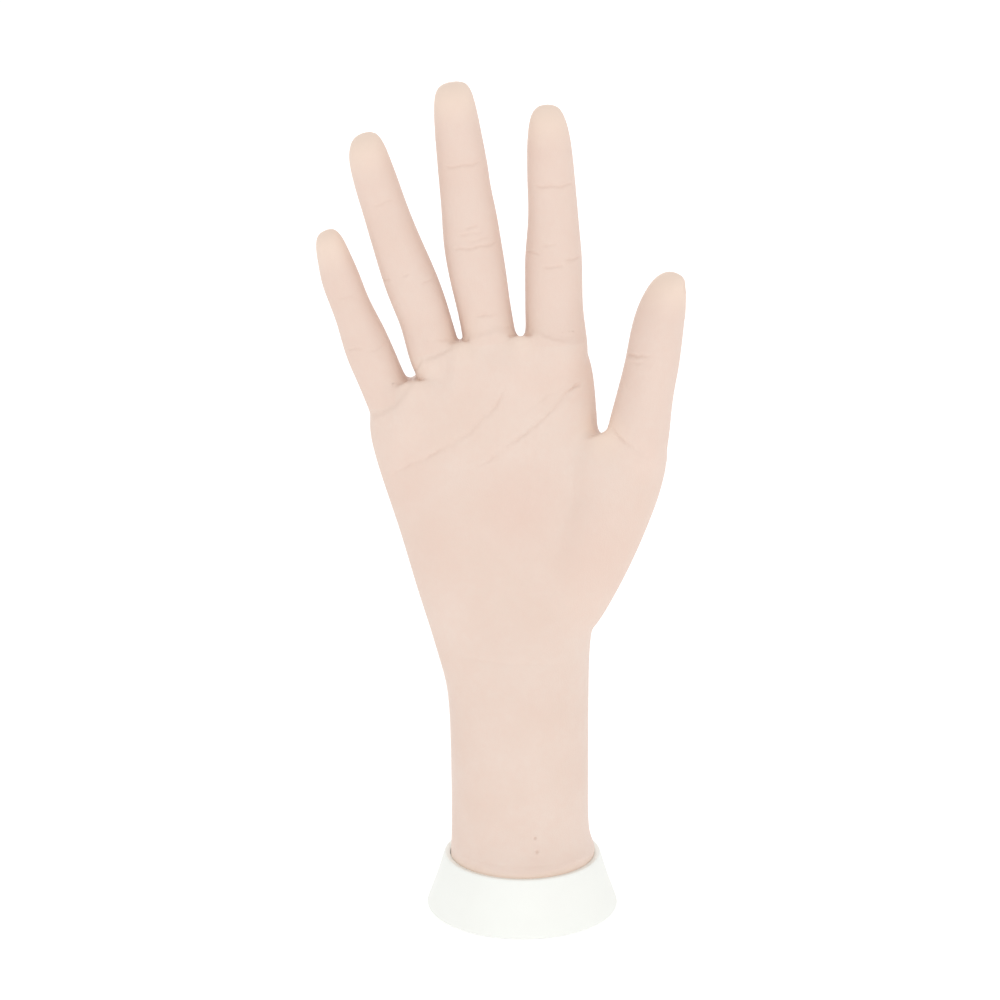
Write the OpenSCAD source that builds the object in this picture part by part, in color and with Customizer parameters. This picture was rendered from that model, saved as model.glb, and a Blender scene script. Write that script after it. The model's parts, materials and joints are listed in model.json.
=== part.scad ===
// Nail practice hand: a soft life-size right hand on a jointed inner frame, standing in a low round stand.
// The origin is the middle of the stand's underside. +Z is up, the palm faces -Y and the thumb is on +X.
// Each finger is drawn along its own +Z from its root hinge, with its nail side on +Y.

/* [Stand] */
// Outer radius of the stand at the table
stand_foot_r = 30; // [27:0.5:40]
// Height of the rim above the table
stand_h = 17.3; // [14:0.1:30]
// Wall of the stand at its foot
stand_wall = 2; // [1.4:0.1:3]
// Wall of the stand at its rim
rim_wall = 1.2; // [0.8:0.1:2.5]
// Rounding of the rim and of the foot edge
edge_round = 0.5; // [0.2:0.05:0.55]
// Height of the top of the shelf inside the stand
shelf_z = 6.5; // [5.5:0.1:8]
// Thickness of the shelf
shelf_t = 2; // [1.2:0.1:3]
// Thickness of the soft pad under the stand
pad_t = 1.2; // [0.8:0.1:2]
// Thickness of the floor plate
floor_t = 1.6; // [1:0.1:2]
// How far the foot edge of the shell stays above the table
foot_lift = 0.3; // [0.1:0.05:0.6]
// Corner radius of the six-sided post
post_r = 5.5; // [4:0.1:7]
// Height of the post above the shelf
post_h = 30; // [15:0.5:45]

/* [Wrist] */
// Radius of the flared end of the wrist
wrist_end_r = 22.6; // [21.5:0.1:25]
// Length over which the wrist flares above the rim
flare_l = 8.7; // [5:0.1:15]
// Width of the wrist above the stand
wrist_w = 42; // [38:0.5:44]
// Depth of the wrist from front to back
wrist_d = 36.5; // [32:0.5:40]
// Outer radius of the bush that the hand turns on
bush_r = 8; // [7:0.1:9]
// Radius of the flange of the bush
flange_r = 14; // [11:0.5:18]
// Thickness of the flange of the bush
flange_t = 1.6; // [1:0.1:3]
// Outer radius of the hub of the hand frame
hub_r = 11; // [10:0.1:13]
// Height of the top of the hub
hub_top = 72; // [60:1:80]
// Height of the crease between wrist and palm
crease_z = 82; // [76:0.5:90]
// Length of the bar across the top of the hub
bar_l = 32; // [28:0.5:34]
// Depth of the bar
bar_d = 9; // [7:0.5:14]
// Thickness of the bar
bar_t = 5; // [4:0.5:8]

/* [Palm] */
// Height of the palm from the wrist crease to the web between index and middle finger
palm_h = 101; // [95:0.5:110]
// Reach of the palm's outer edge below the little finger
palm_reach = 45.5; // [42:0.5:50]
// Reach of the palm's inner edge below the index finger
index_reach = 22.6; // [20:0.2:25]
// Thickness of the palm at its middle
palm_d = 26.5; // [22:0.5:32]
// Reach of the thumb's fleshy base
thenar_reach = 43; // [38:0.5:46]
// How far the thumb's base stands forward of the hand's middle plane
thenar_front = 16; // [14:0.5:18]
// Length of each finger root that is part of the palm
stub_l = 26; // [20:0.5:32]

/* [Thumb] */
// Root hinge, place across the hand
thumb_x = 35.6; // [32:0.2:40]
// Root hinge, place forward of the middle plane
thumb_front = 6; // [3:0.2:10]
// Root hinge, depth below the web of index and middle finger
thumb_drop = 22; // [16:0.5:27]
// Lean towards the thumb side
thumb_lean = 11.5; // [4:0.5:20]
// Turn of the pad of the thumb towards the fingers
thumb_turn = 40; // [20:1:60]
// Length from root hinge to end hinge
thumb_base_l = 14.8; // [14:0.1:20]
// Length from end hinge to fingertip
thumb_tip_l = 27; // [23:0.1:32]
// Width at the root
thumb_root_w = 17.6; // [15:0.1:20]
// Width at the end joint
thumb_end_w = 16.2; // [14:0.1:19]
// Width at the nail
thumb_nail_w = 14.6; // [12:0.1:17]
// Length of the nail tip
thumb_nail_l = 15; // [10:0.5:16]

/* [Index finger] */
// Root hinge, place across the hand
index_x = 9; // [6:0.2:12]
// Root hinge, height above the web of index and middle finger
index_rise = 7.6; // [5:0.2:12]
// Lean towards the thumb side
index_lean = -1.8; // [-5:0.1:3]
// Length from root hinge to middle hinge
index_base_l = 16; // [14.5:0.1:22]
// Length from middle hinge to end hinge
index_mid_l = 20.6; // [16:0.1:26]
// Length from end hinge to fingertip
index_tip_l = 24.4; // [20:0.1:30]
// Width at the root
index_root_w = 17.7; // [15:0.1:19]
// Width at the middle joint
index_mid_w = 16.8; // [14:0.1:19]
// Width at the end joint
index_end_w = 14.3; // [12:0.1:17]
// Width at the nail
index_nail_w = 12.5; // [10:0.1:15]
// Length of the nail tip
index_nail_l = 13.5; // [9:0.5:14]

/* [Middle finger] */
// Root hinge, place across the hand
middle_x = -12; // [-15:0.2:-9]
// Root hinge, height above the web of index and middle finger
middle_rise = 7.6; // [5:0.2:12]
// Lean towards the thumb side
middle_lean = -7.9; // [-10:0.1:-5]
// Length from root hinge to middle hinge
middle_base_l = 20.6; // [14.5:0.1:26]
// Length from middle hinge to end hinge
middle_mid_l = 22.2; // [16:0.1:28]
// Length from end hinge to fingertip
middle_tip_l = 25.4; // [20:0.1:31]
// Width at the root
middle_root_w = 17.4; // [15:0.1:19]
// Width at the middle joint
middle_mid_w = 17.2; // [14:0.1:19]
// Width at the end joint
middle_end_w = 15; // [12:0.1:17]
// Width at the nail
middle_nail_w = 13.3; // [10:0.1:15]
// Length of the nail tip
middle_nail_l = 14; // [9:0.5:15]

/* [Ring finger] */
// Root hinge, place across the hand
ring_x = -29.4; // [-32:0.2:-27]
// Root hinge, height above the web of index and middle finger
ring_rise = 4.8; // [2:0.2:9]
// Lean towards the thumb side
ring_lean = -19; // [-22:0.1:-16]
// Length from root hinge to middle hinge
ring_base_l = 16; // [14.5:0.1:22]
// Length from middle hinge to end hinge
ring_mid_l = 21; // [16:0.1:27]
// Length from end hinge to fingertip
ring_tip_l = 21.2; // [18:0.1:27]
// Width at the root
ring_root_w = 16; // [14:0.1:18]
// Width at the middle joint
ring_mid_w = 15.6; // [13:0.1:18]
// Width at the end joint
ring_end_w = 13; // [11:0.1:16]
// Width at the nail
ring_nail_w = 11.9; // [9.5:0.1:14]
// Length of the nail tip
ring_nail_l = 11.5; // [8:0.5:12]

/* [Little finger] */
// Root hinge, place across the hand
little_x = -43.2; // [-46:0.2:-41]
// Root hinge, depth below the web of index and middle finger
little_drop = 11.6; // [8:0.2:15]
// Lean towards the thumb side
little_lean = -20.4; // [-24:0.1:-17]
// Length from root hinge to middle hinge
little_base_l = 12.8; // [12.4:0.1:18]
// Length from middle hinge to end hinge
little_mid_l = 15.2; // [13:0.1:21]
// Length from end hinge to fingertip
little_tip_l = 17.6; // [16:0.1:23]
// Width at the root
little_root_w = 14.4; // [12.5:0.1:16]
// Width at the middle joint
little_mid_w = 12.8; // [11.5:0.1:15]
// Width at the end joint
little_end_w = 11.7; // [10.5:0.1:14]
// Width at the nail
little_nail_w = 10; // [8.5:0.1:12]
// Length of the nail tip
little_nail_l = 8.5; // [6:0.5:9]

/* [Finger form] */
// Depth of a finger as a share of its width
depth_share = 0.9; // [0.85:0.01:1]
// Length of the rounded end of a fingertip
dome_l = 8; // [6:0.5:10]
// Squareness of a finger's section
squareness = 2.3; // [2:0.05:2.8]

/* [Hinges] */
// Bend at the root of a finger
root_bend = 45; // [20:1:55]
// Bend at the middle joint of a finger
mid_bend = 60; // [20:1:70]
// Bend at the end joint of a finger
end_bend = 40; // [20:1:55]
// Bend at the root of the thumb
thumb_root_bend = 20; // [15:1:35]
// Bend at the end joint of the thumb
thumb_end_bend = 30; // [20:1:55]
// Radius of a bone's round shank
bone_r = 2.2; // [1.8:0.05:2.4]
// Radius of a hinge eye
eye_r = 2.7; // [2.4:0.05:3]
// Radius of a hinge pin
pin_r = 0.9; // [0.6:0.05:1.2]
// Thickness of the tongue of a bone
tongue_t = 2.6; // [2:0.1:3]
// Thickness of each ear of a fork
ear_t = 1.3; // [0.9:0.05:1.6]
// Thickness of the root of a fork
fork_t = 1.5; // [1:0.1:2]
// Radius of the arms of the hand frame
arm_r = 2.6; // [2.2:0.1:3.2]
// Length of the bone in a fingertip
tip_bone_l = 6.5; // [5:0.1:7]

/* [Nail tips] */
// Thickness of a nail tip
nail_t = 0.8; // [0.5:0.05:1]
// Width of a nail tip as a share of the finger's width there
nail_share = 0.84; // [0.7:0.01:0.9]
// Radius of a nail tip's bend as a share of its width
nail_bend = 0.62; // [0.55:0.01:0.8]
// Radius of a nail tip's free end as a share of its width
nail_end = 0.56; // [0.53:0.01:0.65]
// Length of a nail tip that is tucked under its fold
tuck_l = 3; // [2:0.1:3.5]
// Thickness of the fold over the tucked end
fold_t = 1; // [0.7:0.05:1.3]
// Slope of a nail tip towards the fingertip
nail_slope = 6; // [3:0.5:8]
// How far a nail tip ends short of the fingertip
nail_short = 1.2; // [0.8:0.1:2]

/* [Fits] */
// Gap between two skins that move on each other
skin_gap = 0.35; // [0.25:0.05:0.6]
// Gap between a bone and the skin cast round it
cast_gap = 0.2; // [0.1:0.05:0.3]
// Running gap between a pin or bush and its bore
run_gap = 0.05; // [0.02:0.01:0.08]
// Gap between a pin and the ears that hold it
pin_gap = 0.01; // [0.005:0.005:0.02]
// Gap at each side of a tongue in its fork
side_gap = 0.15; // [0.1:0.05:0.3]
// Gap round the swing of a hinge eye
swing_gap = 0.3; // [0.2:0.05:0.5]
// Gap between the wrist and the rim of the stand
wrist_gap = 0.4; // [0.3:0.05:1]
// Gap under the flange and under the hand
seat_gap = 0.2; // [0.1:0.05:0.4]
// Gap between the post and the bush
key_gap = 0.15; // [0.1:0.05:0.3]
// Gap round a nail tip in its slot
nail_gap = 0.15; // [0.1:0.05:0.25]
// Gap round the floor plate and the pad
floor_gap = 0.1; // [0.05:0.05:0.3]

/* [Hidden] */
$fn = 48;
skin_sides = 24;
palm_sides = 32;
over = 1;
far = 60;

skin_colour = [0.93, 0.84, 0.78];
nail_colour = [0.95, 0.9, 0.85];
stand_colour = [0.97, 0.97, 0.95];
bone_colour = [0.85, 0.85, 0.83];
steel_colour = [0.7, 0.71, 0.73];
pad_colour = [0.9, 0.9, 0.88];

finger_names = ["thumb", "index", "middle", "ring", "little"];
THUMB = 0;
fingers = [0:4];
arm_pitch = bar_l / len(finger_names);

// Root hinge of each finger: across, back and up
web_z = crease_z + palm_h;
roots = [
    [thumb_x, -thumb_front, web_z - thumb_drop],
    [index_x, 0, web_z + index_rise],
    [middle_x, 0, web_z + middle_rise],
    [ring_x, 0, web_z + ring_rise],
    [little_x, 0, web_z - little_drop]
];
leans = [thumb_lean, index_lean, middle_lean, ring_lean, little_lean];
turns = [-thumb_turn, 0, 0, 0, 0];
lengths = [
    [thumb_base_l, thumb_tip_l],
    [index_base_l, index_mid_l, index_tip_l],
    [middle_base_l, middle_mid_l, middle_tip_l],
    [ring_base_l, ring_mid_l, ring_tip_l],
    [little_base_l, little_mid_l, little_tip_l]
];
joint_widths = [
    [thumb_root_w, thumb_end_w],
    [index_root_w, index_mid_w, index_end_w],
    [middle_root_w, middle_mid_w, middle_end_w],
    [ring_root_w, ring_mid_w, ring_end_w],
    [little_root_w, little_mid_w, little_end_w]
];
nail_widths = [thumb_nail_w, index_nail_w, middle_nail_w, ring_nail_w, little_nail_w];
nail_lengths = [thumb_nail_l, index_nail_l, middle_nail_l, ring_nail_l, little_nail_l];
finger_bends = [root_bend, mid_bend, end_bend];
thumb_bends = [thumb_root_bend, thumb_end_bend];

// Segments of a finger, and their names from the root to the tip
function segments(i) = len(lengths[i]);
function last(i) = segments(i) - 1;
function segment_name(i, k) = k == 0 ? "base" : k == last(i) ? "tip" : "mid";
function bend(i, k) = i == THUMB ? thumb_bends[k] : finger_bends[k];
// Distance of hinge k from the root hinge, along the finger
function hinge_at(i, k) = k == 0 ? 0 : hinge_at(i, k - 1) + lengths[i][k - 1];
function finger_l(i) = hinge_at(i, last(i)) + lengths[i][last(i)];
function dome_at(i) = finger_l(i) - dome_l;

// Half width of a finger at a distance along it, before its tip is rounded
function half_width(i, s) = lookup(s, concat(
    [for (k = [0:last(i)]) [hinge_at(i, k), joint_widths[i][k] / 2]],
    [[dome_at(i), nail_widths[i] / 2]]
));
// How much is left of the section at a distance along the rounded tip
function dome_share(i, s) =
    let (t = max(0, (s - dome_at(i)) / dome_l))
    sqrt(max(0.01, 1 - t * t));
// The tip is drawn up towards the nail side as it closes
lift_share = 0.45;
function nail_side(i, s) =
    depth_share * half_width(i, s) * (lift_share + (1 - lift_share) * dome_share(i, s));
function pad_side(i, s) =
    -depth_share * half_width(i, s) * ((1 + lift_share) * dome_share(i, s) - lift_share);
function hinge_r(i, k) = depth_share * joint_widths[i][k] / 2;

// One closed section with rounded-square sides, centred on a point
function section(mid, side, depth, sides) = [
    for (n = [0:sides - 1])
        let (a = 360 * n / sides, c = cos(a), s = sin(a))
        mid + side * sign(c) * pow(abs(c), 2 / squareness) + depth * sign(s) * pow(abs(s), 2 / squareness)
];
function finger_section(i, s) =
    let (top = nail_side(i, s), low = pad_side(i, s))
    section(
        [0, (top + low) / 2, s],
        [half_width(i, s) * dome_share(i, s), 0, 0],
        [0, (top - low) / 2, 0],
        skin_sides
    );

// A skin through sections of equal count, from the lowest to the highest
module loft(sections) {
    sides = len(sections[0]);
    rows = len(sections);
    walls = [
        for (r = [0:rows - 2], n = [0:sides - 1])
            let (a = r * sides + n, b = r * sides + (n + 1) % sides)
            each [[a, b + sides, b], [a, a + sides, b + sides]]
    ];
    bottom = [for (n = [0:sides - 1]) n];
    top = [for (n = [0:sides - 1]) rows * sides - 1 - n];
    polyhedron([for (s = sections) each s], concat([bottom], walls, [top]), convexity = 4);
}

// Places what is drawn in a finger's own frame, with hinge k at its origin
module at_hinge(i, k) {
    translate(roots[i])
        rotate([0, leans[i], 0])
            rotate([0, 0, turns[i]])
                translate([0, 0, hinge_at(i, k)])
                    children();
}

// A cylinder along the hinge pin, centred on the hinge
module across(r, l) {
    rotate([0, 90, 0])
        cylinder(r = r, h = l, center = true);
}

// Hinge forks and tongues
fork_w = tongue_t + 2 * side_gap + 2 * ear_t;
fork_drop = eye_r + swing_gap + fork_t;
neck_w = 1.5 * bone_r;
shank_at = eye_r + swing_gap;

module fork() {
    for (side = [-1, 1])
        difference() {
            union() {
                translate([side * (fork_w - ear_t) / 2, 0, 0])
                    across(eye_r, ear_t);
                translate([side * (fork_w - ear_t) / 2 - ear_t / 2, -eye_r, -fork_drop])
                    cube([ear_t, 2 * eye_r, fork_drop]);
            }
            across(pin_r + pin_gap, fork_w + over);
        }
    translate([-fork_w / 2, -eye_r, -fork_drop])
        cube([fork_w, 2 * eye_r, fork_t]);
}

module tongue() {
    difference() {
        union() {
            across(eye_r, tongue_t);
            translate([-tongue_t / 2, -neck_w / 2, 0])
                cube([tongue_t, neck_w, shank_at + fork_t / 2]);
        }
        across(pin_r + run_gap, tongue_t + over);
    }
}

module hinge_pin() {
    color(steel_colour)
        across(pin_r, fork_w);
}

// Room in the skin for a fork, its pin and the swing of the next bone
module fork_room(angle) {
    slot_r = bone_r + cast_gap;
    reach = far / 2;
    across(eye_r + cast_gap, fork_w + 2 * cast_gap);
    translate([-fork_w / 2 - cast_gap, -eye_r - cast_gap, -fork_drop - cast_gap])
        cube([fork_w + 2 * cast_gap, 2 * (eye_r + cast_gap), fork_drop + cast_gap]);
    rotate([0, -90, 0])
        linear_extrude(height = 2 * slot_r, center = true)
            polygon([
                [0, slot_r],
                [reach, slot_r],
                [reach * cos(angle) - slot_r * sin(angle), -reach * sin(angle) - slot_r * cos(angle)],
                [-slot_r * sin(angle), -slot_r * cos(angle)]
            ]);
}

// Everything past a hinge that lies outside the round end of the skin below it
module past_round_end(r) {
    difference() {
        translate([-far / 2, -far / 2, 0])
            cube([far, far, far]);
        across(r, far + over);
    }
}

// The hollow end of the skin above a hinge, with the room that its bend needs
module hollow_end(r, angle) {
    room = r + skin_gap;
    across(room, far);
    rotate([-angle, 0, 0])
        translate([-far / 2, -room, -far])
            cube([far, room, far]);
    translate([-far / 2, -far / 2, -far])
        cube([far, far, far]);
}

// Nail tips
function nail_w(i) = nail_share * nail_widths[i];
function nail_r(i) = nail_bend * nail_w(i);
function nail_half_angle(i) = asin(nail_w(i) / 2 / nail_r(i));
function tip_l(i) = lengths[i][last(i)];
function fold_at(i) = tip_l(i) - nail_short - nail_lengths[i] + tuck_l;
function fold_top(i) = nail_side(i, hinge_at(i, last(i)) + fold_at(i));

// A bent plate in the nail's own frame: from r_in to r_out, and from low to high along it
module nail_plate(i, r_in, r_out, low, high, spread) {
    half = nail_half_angle(i) + spread;
    translate([0, fold_top(i) - fold_t, fold_at(i)])
        rotate([nail_slope, 0, 0])
            translate([0, -nail_r(i), low])
                rotate([0, 0, 90 - half])
                    rotate_extrude(angle = 2 * half)
                        translate([r_in, 0])
                            square([r_out - r_in, high - low]);
}

// The round free end of a nail tip, cut straight through from the nail side
module nail_outline(i) {
    r = nail_end * nail_w(i);
    straight_l = nail_lengths[i] - r;
    translate([0, fold_top(i) - fold_t, fold_at(i)])
        rotate([nail_slope, 0, 0])
            translate([0, over - nail_r(i), -tuck_l]) {
                translate([-r - over, 0, -over])
                    cube([2 * (r + over), nail_r(i), straight_l + over]);
                translate([0, 0, straight_l])
                    rotate([-90, 0, 0])
                        cylinder(r = r, h = nail_r(i));
            }
}

module nail_tip(i) {
    color(nail_colour)
        at_hinge(i, last(i))
            intersection() {
                nail_plate(i, nail_r(i) - nail_t, nail_r(i), -tuck_l, nail_lengths[i] - tuck_l, 0);
                nail_outline(i);
            }
}

// The nail's slot and its open bed, with a little more spread at the sides
module nail_room(i) {
    side_room = 2;
    bed_r = nail_r(i) - nail_t - nail_gap;
    nail_plate(i, bed_r, nail_r(i) + nail_gap, -tuck_l - nail_gap, over, side_room);
    nail_plate(i, bed_r, far / 2, 0, far / 2, side_room);
}

// Finger bones, pins and skins
module bone(i, k) {
    l = lengths[i][k];
    shank_end = k == last(i) ? tip_bone_l : l - fork_drop + fork_t / 2;
    color(bone_colour)
        at_hinge(i, k) {
            tongue();
            translate([0, 0, shank_at])
                cylinder(r = bone_r, h = shank_end - shank_at);
            if (k < last(i))
                translate([0, 0, l])
                    fork();
        }
}

module joint_pin(i, k) {
    at_hinge(i, k + 1)
        hinge_pin();
}

module bone_room(i, k) {
    l = k == last(i) ? tip_bone_l + cast_gap : lengths[i][k] - fork_drop;
    cylinder(r = bone_r + cast_gap, h = l);
    if (k < last(i))
        translate([0, 0, lengths[i][k]])
            fork_room(bend(i, k + 1));
}

// Distances along the finger at which a skin takes its sections
function skin_stops(i, k) =
    let (from = hinge_at(i, k))
    k < last(i)
        ? [for (n = [0:5]) from + (lengths[i][k] + hinge_r(i, k + 1) + over) * n / 5]
        : concat(
            [for (n = [0:3]) from + (tip_l(i) - dome_l) * n / 3],
            [for (a = [20, 38, 54, 68, 80, 90]) dome_at(i) + dome_l * sin(a)]
        );

module finger_skin(i, k) {
    color(skin_colour)
        difference() {
            at_hinge(i, 0)
                loft([for (s = skin_stops(i, k)) finger_section(i, s)]);
            at_hinge(i, k) {
                hollow_end(hinge_r(i, k), bend(i, k));
                bone_room(i, k);
            }
            if (k < last(i))
                at_hinge(i, k + 1)
                    past_round_end(hinge_r(i, k + 1));
            else
                at_hinge(i, k)
                    nail_room(i);
        }
}

// Heights where the hand sits in the stand
flange_z = shelf_z + seat_gap;
hand_z = flange_z + flange_t + seat_gap;
bush_top = shelf_z + post_h;
cup_r = wrist_end_r + wrist_gap;
stand_rim_r = cup_r + rim_wall;

// Sections of the palm: left end, right end (across and up), front and back depth
wrist_side = wrist_w / 2;
wrist_half = wrist_d / 2;
palm_half = palm_d / 2;
flare_top = stand_h + flare_l;
wrist_low = 0.68 * crease_z;
wrist_high = 0.88 * crease_z;
function up(share) = crease_z + share * palm_h;
palm_sections = [
    [-wrist_end_r, hand_z, wrist_end_r, hand_z, 1.06 * wrist_half, 1.06 * wrist_half],
    [-wrist_end_r, stand_h, wrist_end_r, stand_h, 1.06 * wrist_half, 1.06 * wrist_half],
    [-1.05 * wrist_side, flare_top, 0.96 * wrist_side, flare_top, wrist_half, wrist_half],
    [-1.05 * wrist_side, wrist_low, 0.94 * wrist_side, wrist_low, 0.98 * wrist_half, 0.99 * wrist_half],
    [-1.1 * wrist_side, wrist_high, 0.95 * wrist_side, wrist_high, 0.95 * wrist_half, 0.95 * wrist_half],
    [-1.33 * wrist_side, up(0.06), wrist_side, up(0.06), 1.21 * palm_half, 1.17 * palm_half],
    [-0.74 * palm_reach, up(0.26), index_reach, up(0.28), 1.1 * palm_half, palm_half],
    [-0.89 * palm_reach, up(0.485), index_reach, up(0.525), 0.95 * palm_half, 0.94 * palm_half],
    [-palm_reach, up(0.645), index_reach, up(0.735), 0.88 * palm_half, 0.9 * palm_half],
    [-1.02 * palm_reach, up(0.77), 0.91 * index_reach, up(0.91), 0.88 * palm_half, 0.91 * palm_half],
    [-0.88 * palm_reach, up(0.845), 0.8 * index_reach, up(0.97), 0.82 * palm_half, 0.84 * palm_half],
    [-0.81 * palm_reach, up(0.87), 0.77 * index_reach, up(1.01), 0.62 * palm_half, 0.56 * palm_half]
];
// Sections of the thumb's fleshy base, from the wrist to the thumb's root
thenar_sections = [
    [-0.14 * thenar_reach, up(0.06), 0.9 * wrist_side, up(0.07), 0.75 * thenar_front, 0.62 * palm_half],
    [-0.07 * thenar_reach, up(0.22), 0.67 * thenar_reach, up(0.21), 0.91 * thenar_front, 0.69 * palm_half],
    [0.09 * thenar_reach, up(0.385), 0.86 * thenar_reach, up(0.375), 1.01 * thenar_front, 0.65 * palm_half],
    [0.26 * thenar_reach, up(0.535), 0.96 * thenar_reach, up(0.515), 0.99 * thenar_front, 0.54 * palm_half],
    [0.4 * thenar_reach, up(0.65), thenar_reach, up(0.625), 0.95 * thenar_front, 0.37 * palm_half],
    [0.56 * thenar_reach, up(0.73), 1.01 * thenar_reach, up(0.7), 0.93 * thenar_front, 0.2 * palm_half]
];

function palm_section(p, sides) =
    let (left = [p[0], 0, p[1]], right = [p[2], 0, p[3]])
    section(
        (left + right) / 2 + [0, (p[5] - p[4]) / 2, 0],
        (right - left) / 2,
        [0, (p[4] + p[5]) / 2, 0],
        sides
    );

module finger_root(i) {
    top = hinge_r(i, 0) + over;
    stops = [-stub_l, -stub_l / 2, 0, top];
    difference() {
        at_hinge(i, 0)
            loft([for (s = stops) finger_section(i, s)]);
        at_hinge(i, 0)
            past_round_end(hinge_r(i, 0));
    }
}

module palm_skin() {
    color(skin_colour)
        difference() {
            union() {
                loft([for (p = palm_sections) palm_section(p, palm_sides)]);
                loft([for (p = thenar_sections) palm_section(p, skin_sides)]);
                for (i = fingers)
                    finger_root(i);
            }
            frame_room();
        }
}

// The frame inside the palm: a hub in the wrist, a bar across its top and an arm to each finger's root
function fork_base(i) = roots[i] + (fork_t / 2 - fork_drop) * [sin(leans[i]), 0, cos(leans[i])];
function arm_foot(i) = [bar_l / 2 - arm_pitch * (i + 0.5), 0, hub_top + bar_t / 2];

module arm(i, r) {
    way = fork_base(i) - arm_foot(i);
    translate(arm_foot(i))
        rotate([0, acos(way[2] / norm(way)), atan2(way[1], way[0])])
            cylinder(r = r, h = norm(way));
}

module cross_bar(gap) {
    translate([-bar_l / 2 - gap, -bar_d / 2 - gap, hub_top - gap])
        cube([bar_l + 2 * gap, bar_d + 2 * gap, bar_t + 2 * gap]);
}

module palm_frame() {
    color(bone_colour) {
        difference() {
            translate([0, 0, hand_z])
                cylinder(r = hub_r, h = hub_top - hand_z);
            translate([0, 0, hand_z - over])
                cylinder(r = bush_r + run_gap, h = bush_top + seat_gap - hand_z + over);
        }
        cross_bar(0);
        for (i = fingers) {
            arm(i, arm_r);
            at_hinge(i, 0)
                fork();
        }
    }
}

module frame_room() {
    translate([0, 0, hand_z - over])
        cylinder(r = hub_r + cast_gap, h = hub_top + cast_gap - hand_z + over);
    cross_bar(cast_gap);
    for (i = fingers) {
        arm(i, arm_r + cast_gap);
        at_hinge(i, 0)
            fork_room(bend(i, 0));
    }
}

module knuckle_pins() {
    for (i = fingers)
        at_hinge(i, 0)
            hinge_pin();
}

// The bush that the hand turns on, keyed to the post and lifted off it with the hand
module wrist_bush() {
    color(bone_colour)
        difference() {
            union() {
                translate([0, 0, flange_z])
                    cylinder(r = flange_r, h = flange_t);
                translate([0, 0, flange_z])
                    cylinder(r = bush_r, h = bush_top - flange_z);
            }
            translate([0, 0, flange_z - over])
                cylinder(r = post_r + key_gap, h = bush_top - flange_z + 2 * over, $fn = 6);
        }
}

// Stand
function inner_r(z) = lookup(z, [[0, stand_foot_r - stand_wall], [stand_h, cup_r]]);
floor_z = pad_t;

module stand_shell() {
    color(stand_colour) {
        rotate_extrude()
            offset(r = edge_round)
                offset(delta = -edge_round)
                    polygon([
                        [stand_foot_r - stand_wall, foot_lift],
                        [stand_foot_r, foot_lift],
                        [stand_rim_r, stand_h],
                        [cup_r, stand_h]
                    ]);
        translate([0, 0, shelf_z - shelf_t])
            cylinder(r = inner_r(shelf_z) + rim_wall / 2, h = shelf_t);
        translate([0, 0, shelf_z - over])
            cylinder(r = post_r, h = post_h + over, $fn = 6);
    }
}

module stand_floor() {
    color(stand_colour)
        translate([0, 0, floor_z])
            cylinder(r = inner_r(floor_z + floor_t) - floor_gap, h = floor_t);
}

module foot_pad() {
    color(pad_colour)
        cylinder(r = inner_r(floor_z) - floor_gap, h = pad_t);
}

function part_name(i, k, kind) = str(finger_names[i], "_", segment_name(i, k), "_", kind);
function nail_name(i) = str(finger_names[i], "_nail_tip");

stand_shell();
stand_floor();
foot_pad();
wrist_bush();
palm_skin();
palm_frame();
knuckle_pins();
for (i = fingers, k = [0:last(i)]) {
    finger_skin(i, k);
    bone(i, k);
}
for (i = fingers, k = [0:last(i) - 1])
    joint_pin(i, k);
for (i = fingers)
    nail_tip(i);
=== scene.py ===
# %% [markdown]
# # A nail practice hand
# The real thing is a soft, life-size hand on a low white stand. Nail artists bend its fingers and slide
# nail tips into the slots on their backs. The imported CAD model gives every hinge, bone and gap. This lesson
# gives it skin: one smooth hand, split where the fingers bend, with nails, a moulded stand and finishes
# made from nodes.

import json
import math

import bpy
import numpy as np
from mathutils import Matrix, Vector


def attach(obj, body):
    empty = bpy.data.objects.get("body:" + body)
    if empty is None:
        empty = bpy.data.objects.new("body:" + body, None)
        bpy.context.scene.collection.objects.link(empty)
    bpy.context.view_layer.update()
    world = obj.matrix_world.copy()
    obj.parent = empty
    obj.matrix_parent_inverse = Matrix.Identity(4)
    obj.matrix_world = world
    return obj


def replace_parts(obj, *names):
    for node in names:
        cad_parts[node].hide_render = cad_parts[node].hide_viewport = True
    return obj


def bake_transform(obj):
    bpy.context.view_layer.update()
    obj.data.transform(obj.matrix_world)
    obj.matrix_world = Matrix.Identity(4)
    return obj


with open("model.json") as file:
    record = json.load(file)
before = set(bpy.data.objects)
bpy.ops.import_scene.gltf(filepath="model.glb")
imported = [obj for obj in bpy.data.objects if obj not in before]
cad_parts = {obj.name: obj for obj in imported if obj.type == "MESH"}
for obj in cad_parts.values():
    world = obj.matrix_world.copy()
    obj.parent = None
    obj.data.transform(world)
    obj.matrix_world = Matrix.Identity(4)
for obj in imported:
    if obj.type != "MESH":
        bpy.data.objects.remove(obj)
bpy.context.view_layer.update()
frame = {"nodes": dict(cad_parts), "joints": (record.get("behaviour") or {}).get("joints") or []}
joints = {joint["name"]: joint for joint in frame["joints"]}
MM = 0.001

# %% [markdown]
# ## Helpers for nodes
# A finish or a sky is a small graph of nodes. Built by mouse, each node is added, its sockets are set and
# its outputs are dragged to the next one. These helpers do the same three things in one line each, so that
# a graph reads like a recipe.

# %% Node helpers
def feed(tree, node, **inputs):
    """Sets or links a node's sockets. A key is a socket's name with _ for each space, or i and its number."""
    for key, value in inputs.items():
        numbered = key[0] == "i" and key[1:].isdigit()
        socket = node.inputs[int(key[1:]) if numbered else key.replace("_", " ")]
        if isinstance(value, bpy.types.NodeSocket):
            tree.links.new(value, socket)
        else:
            socket.default_value = value
    return node


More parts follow.
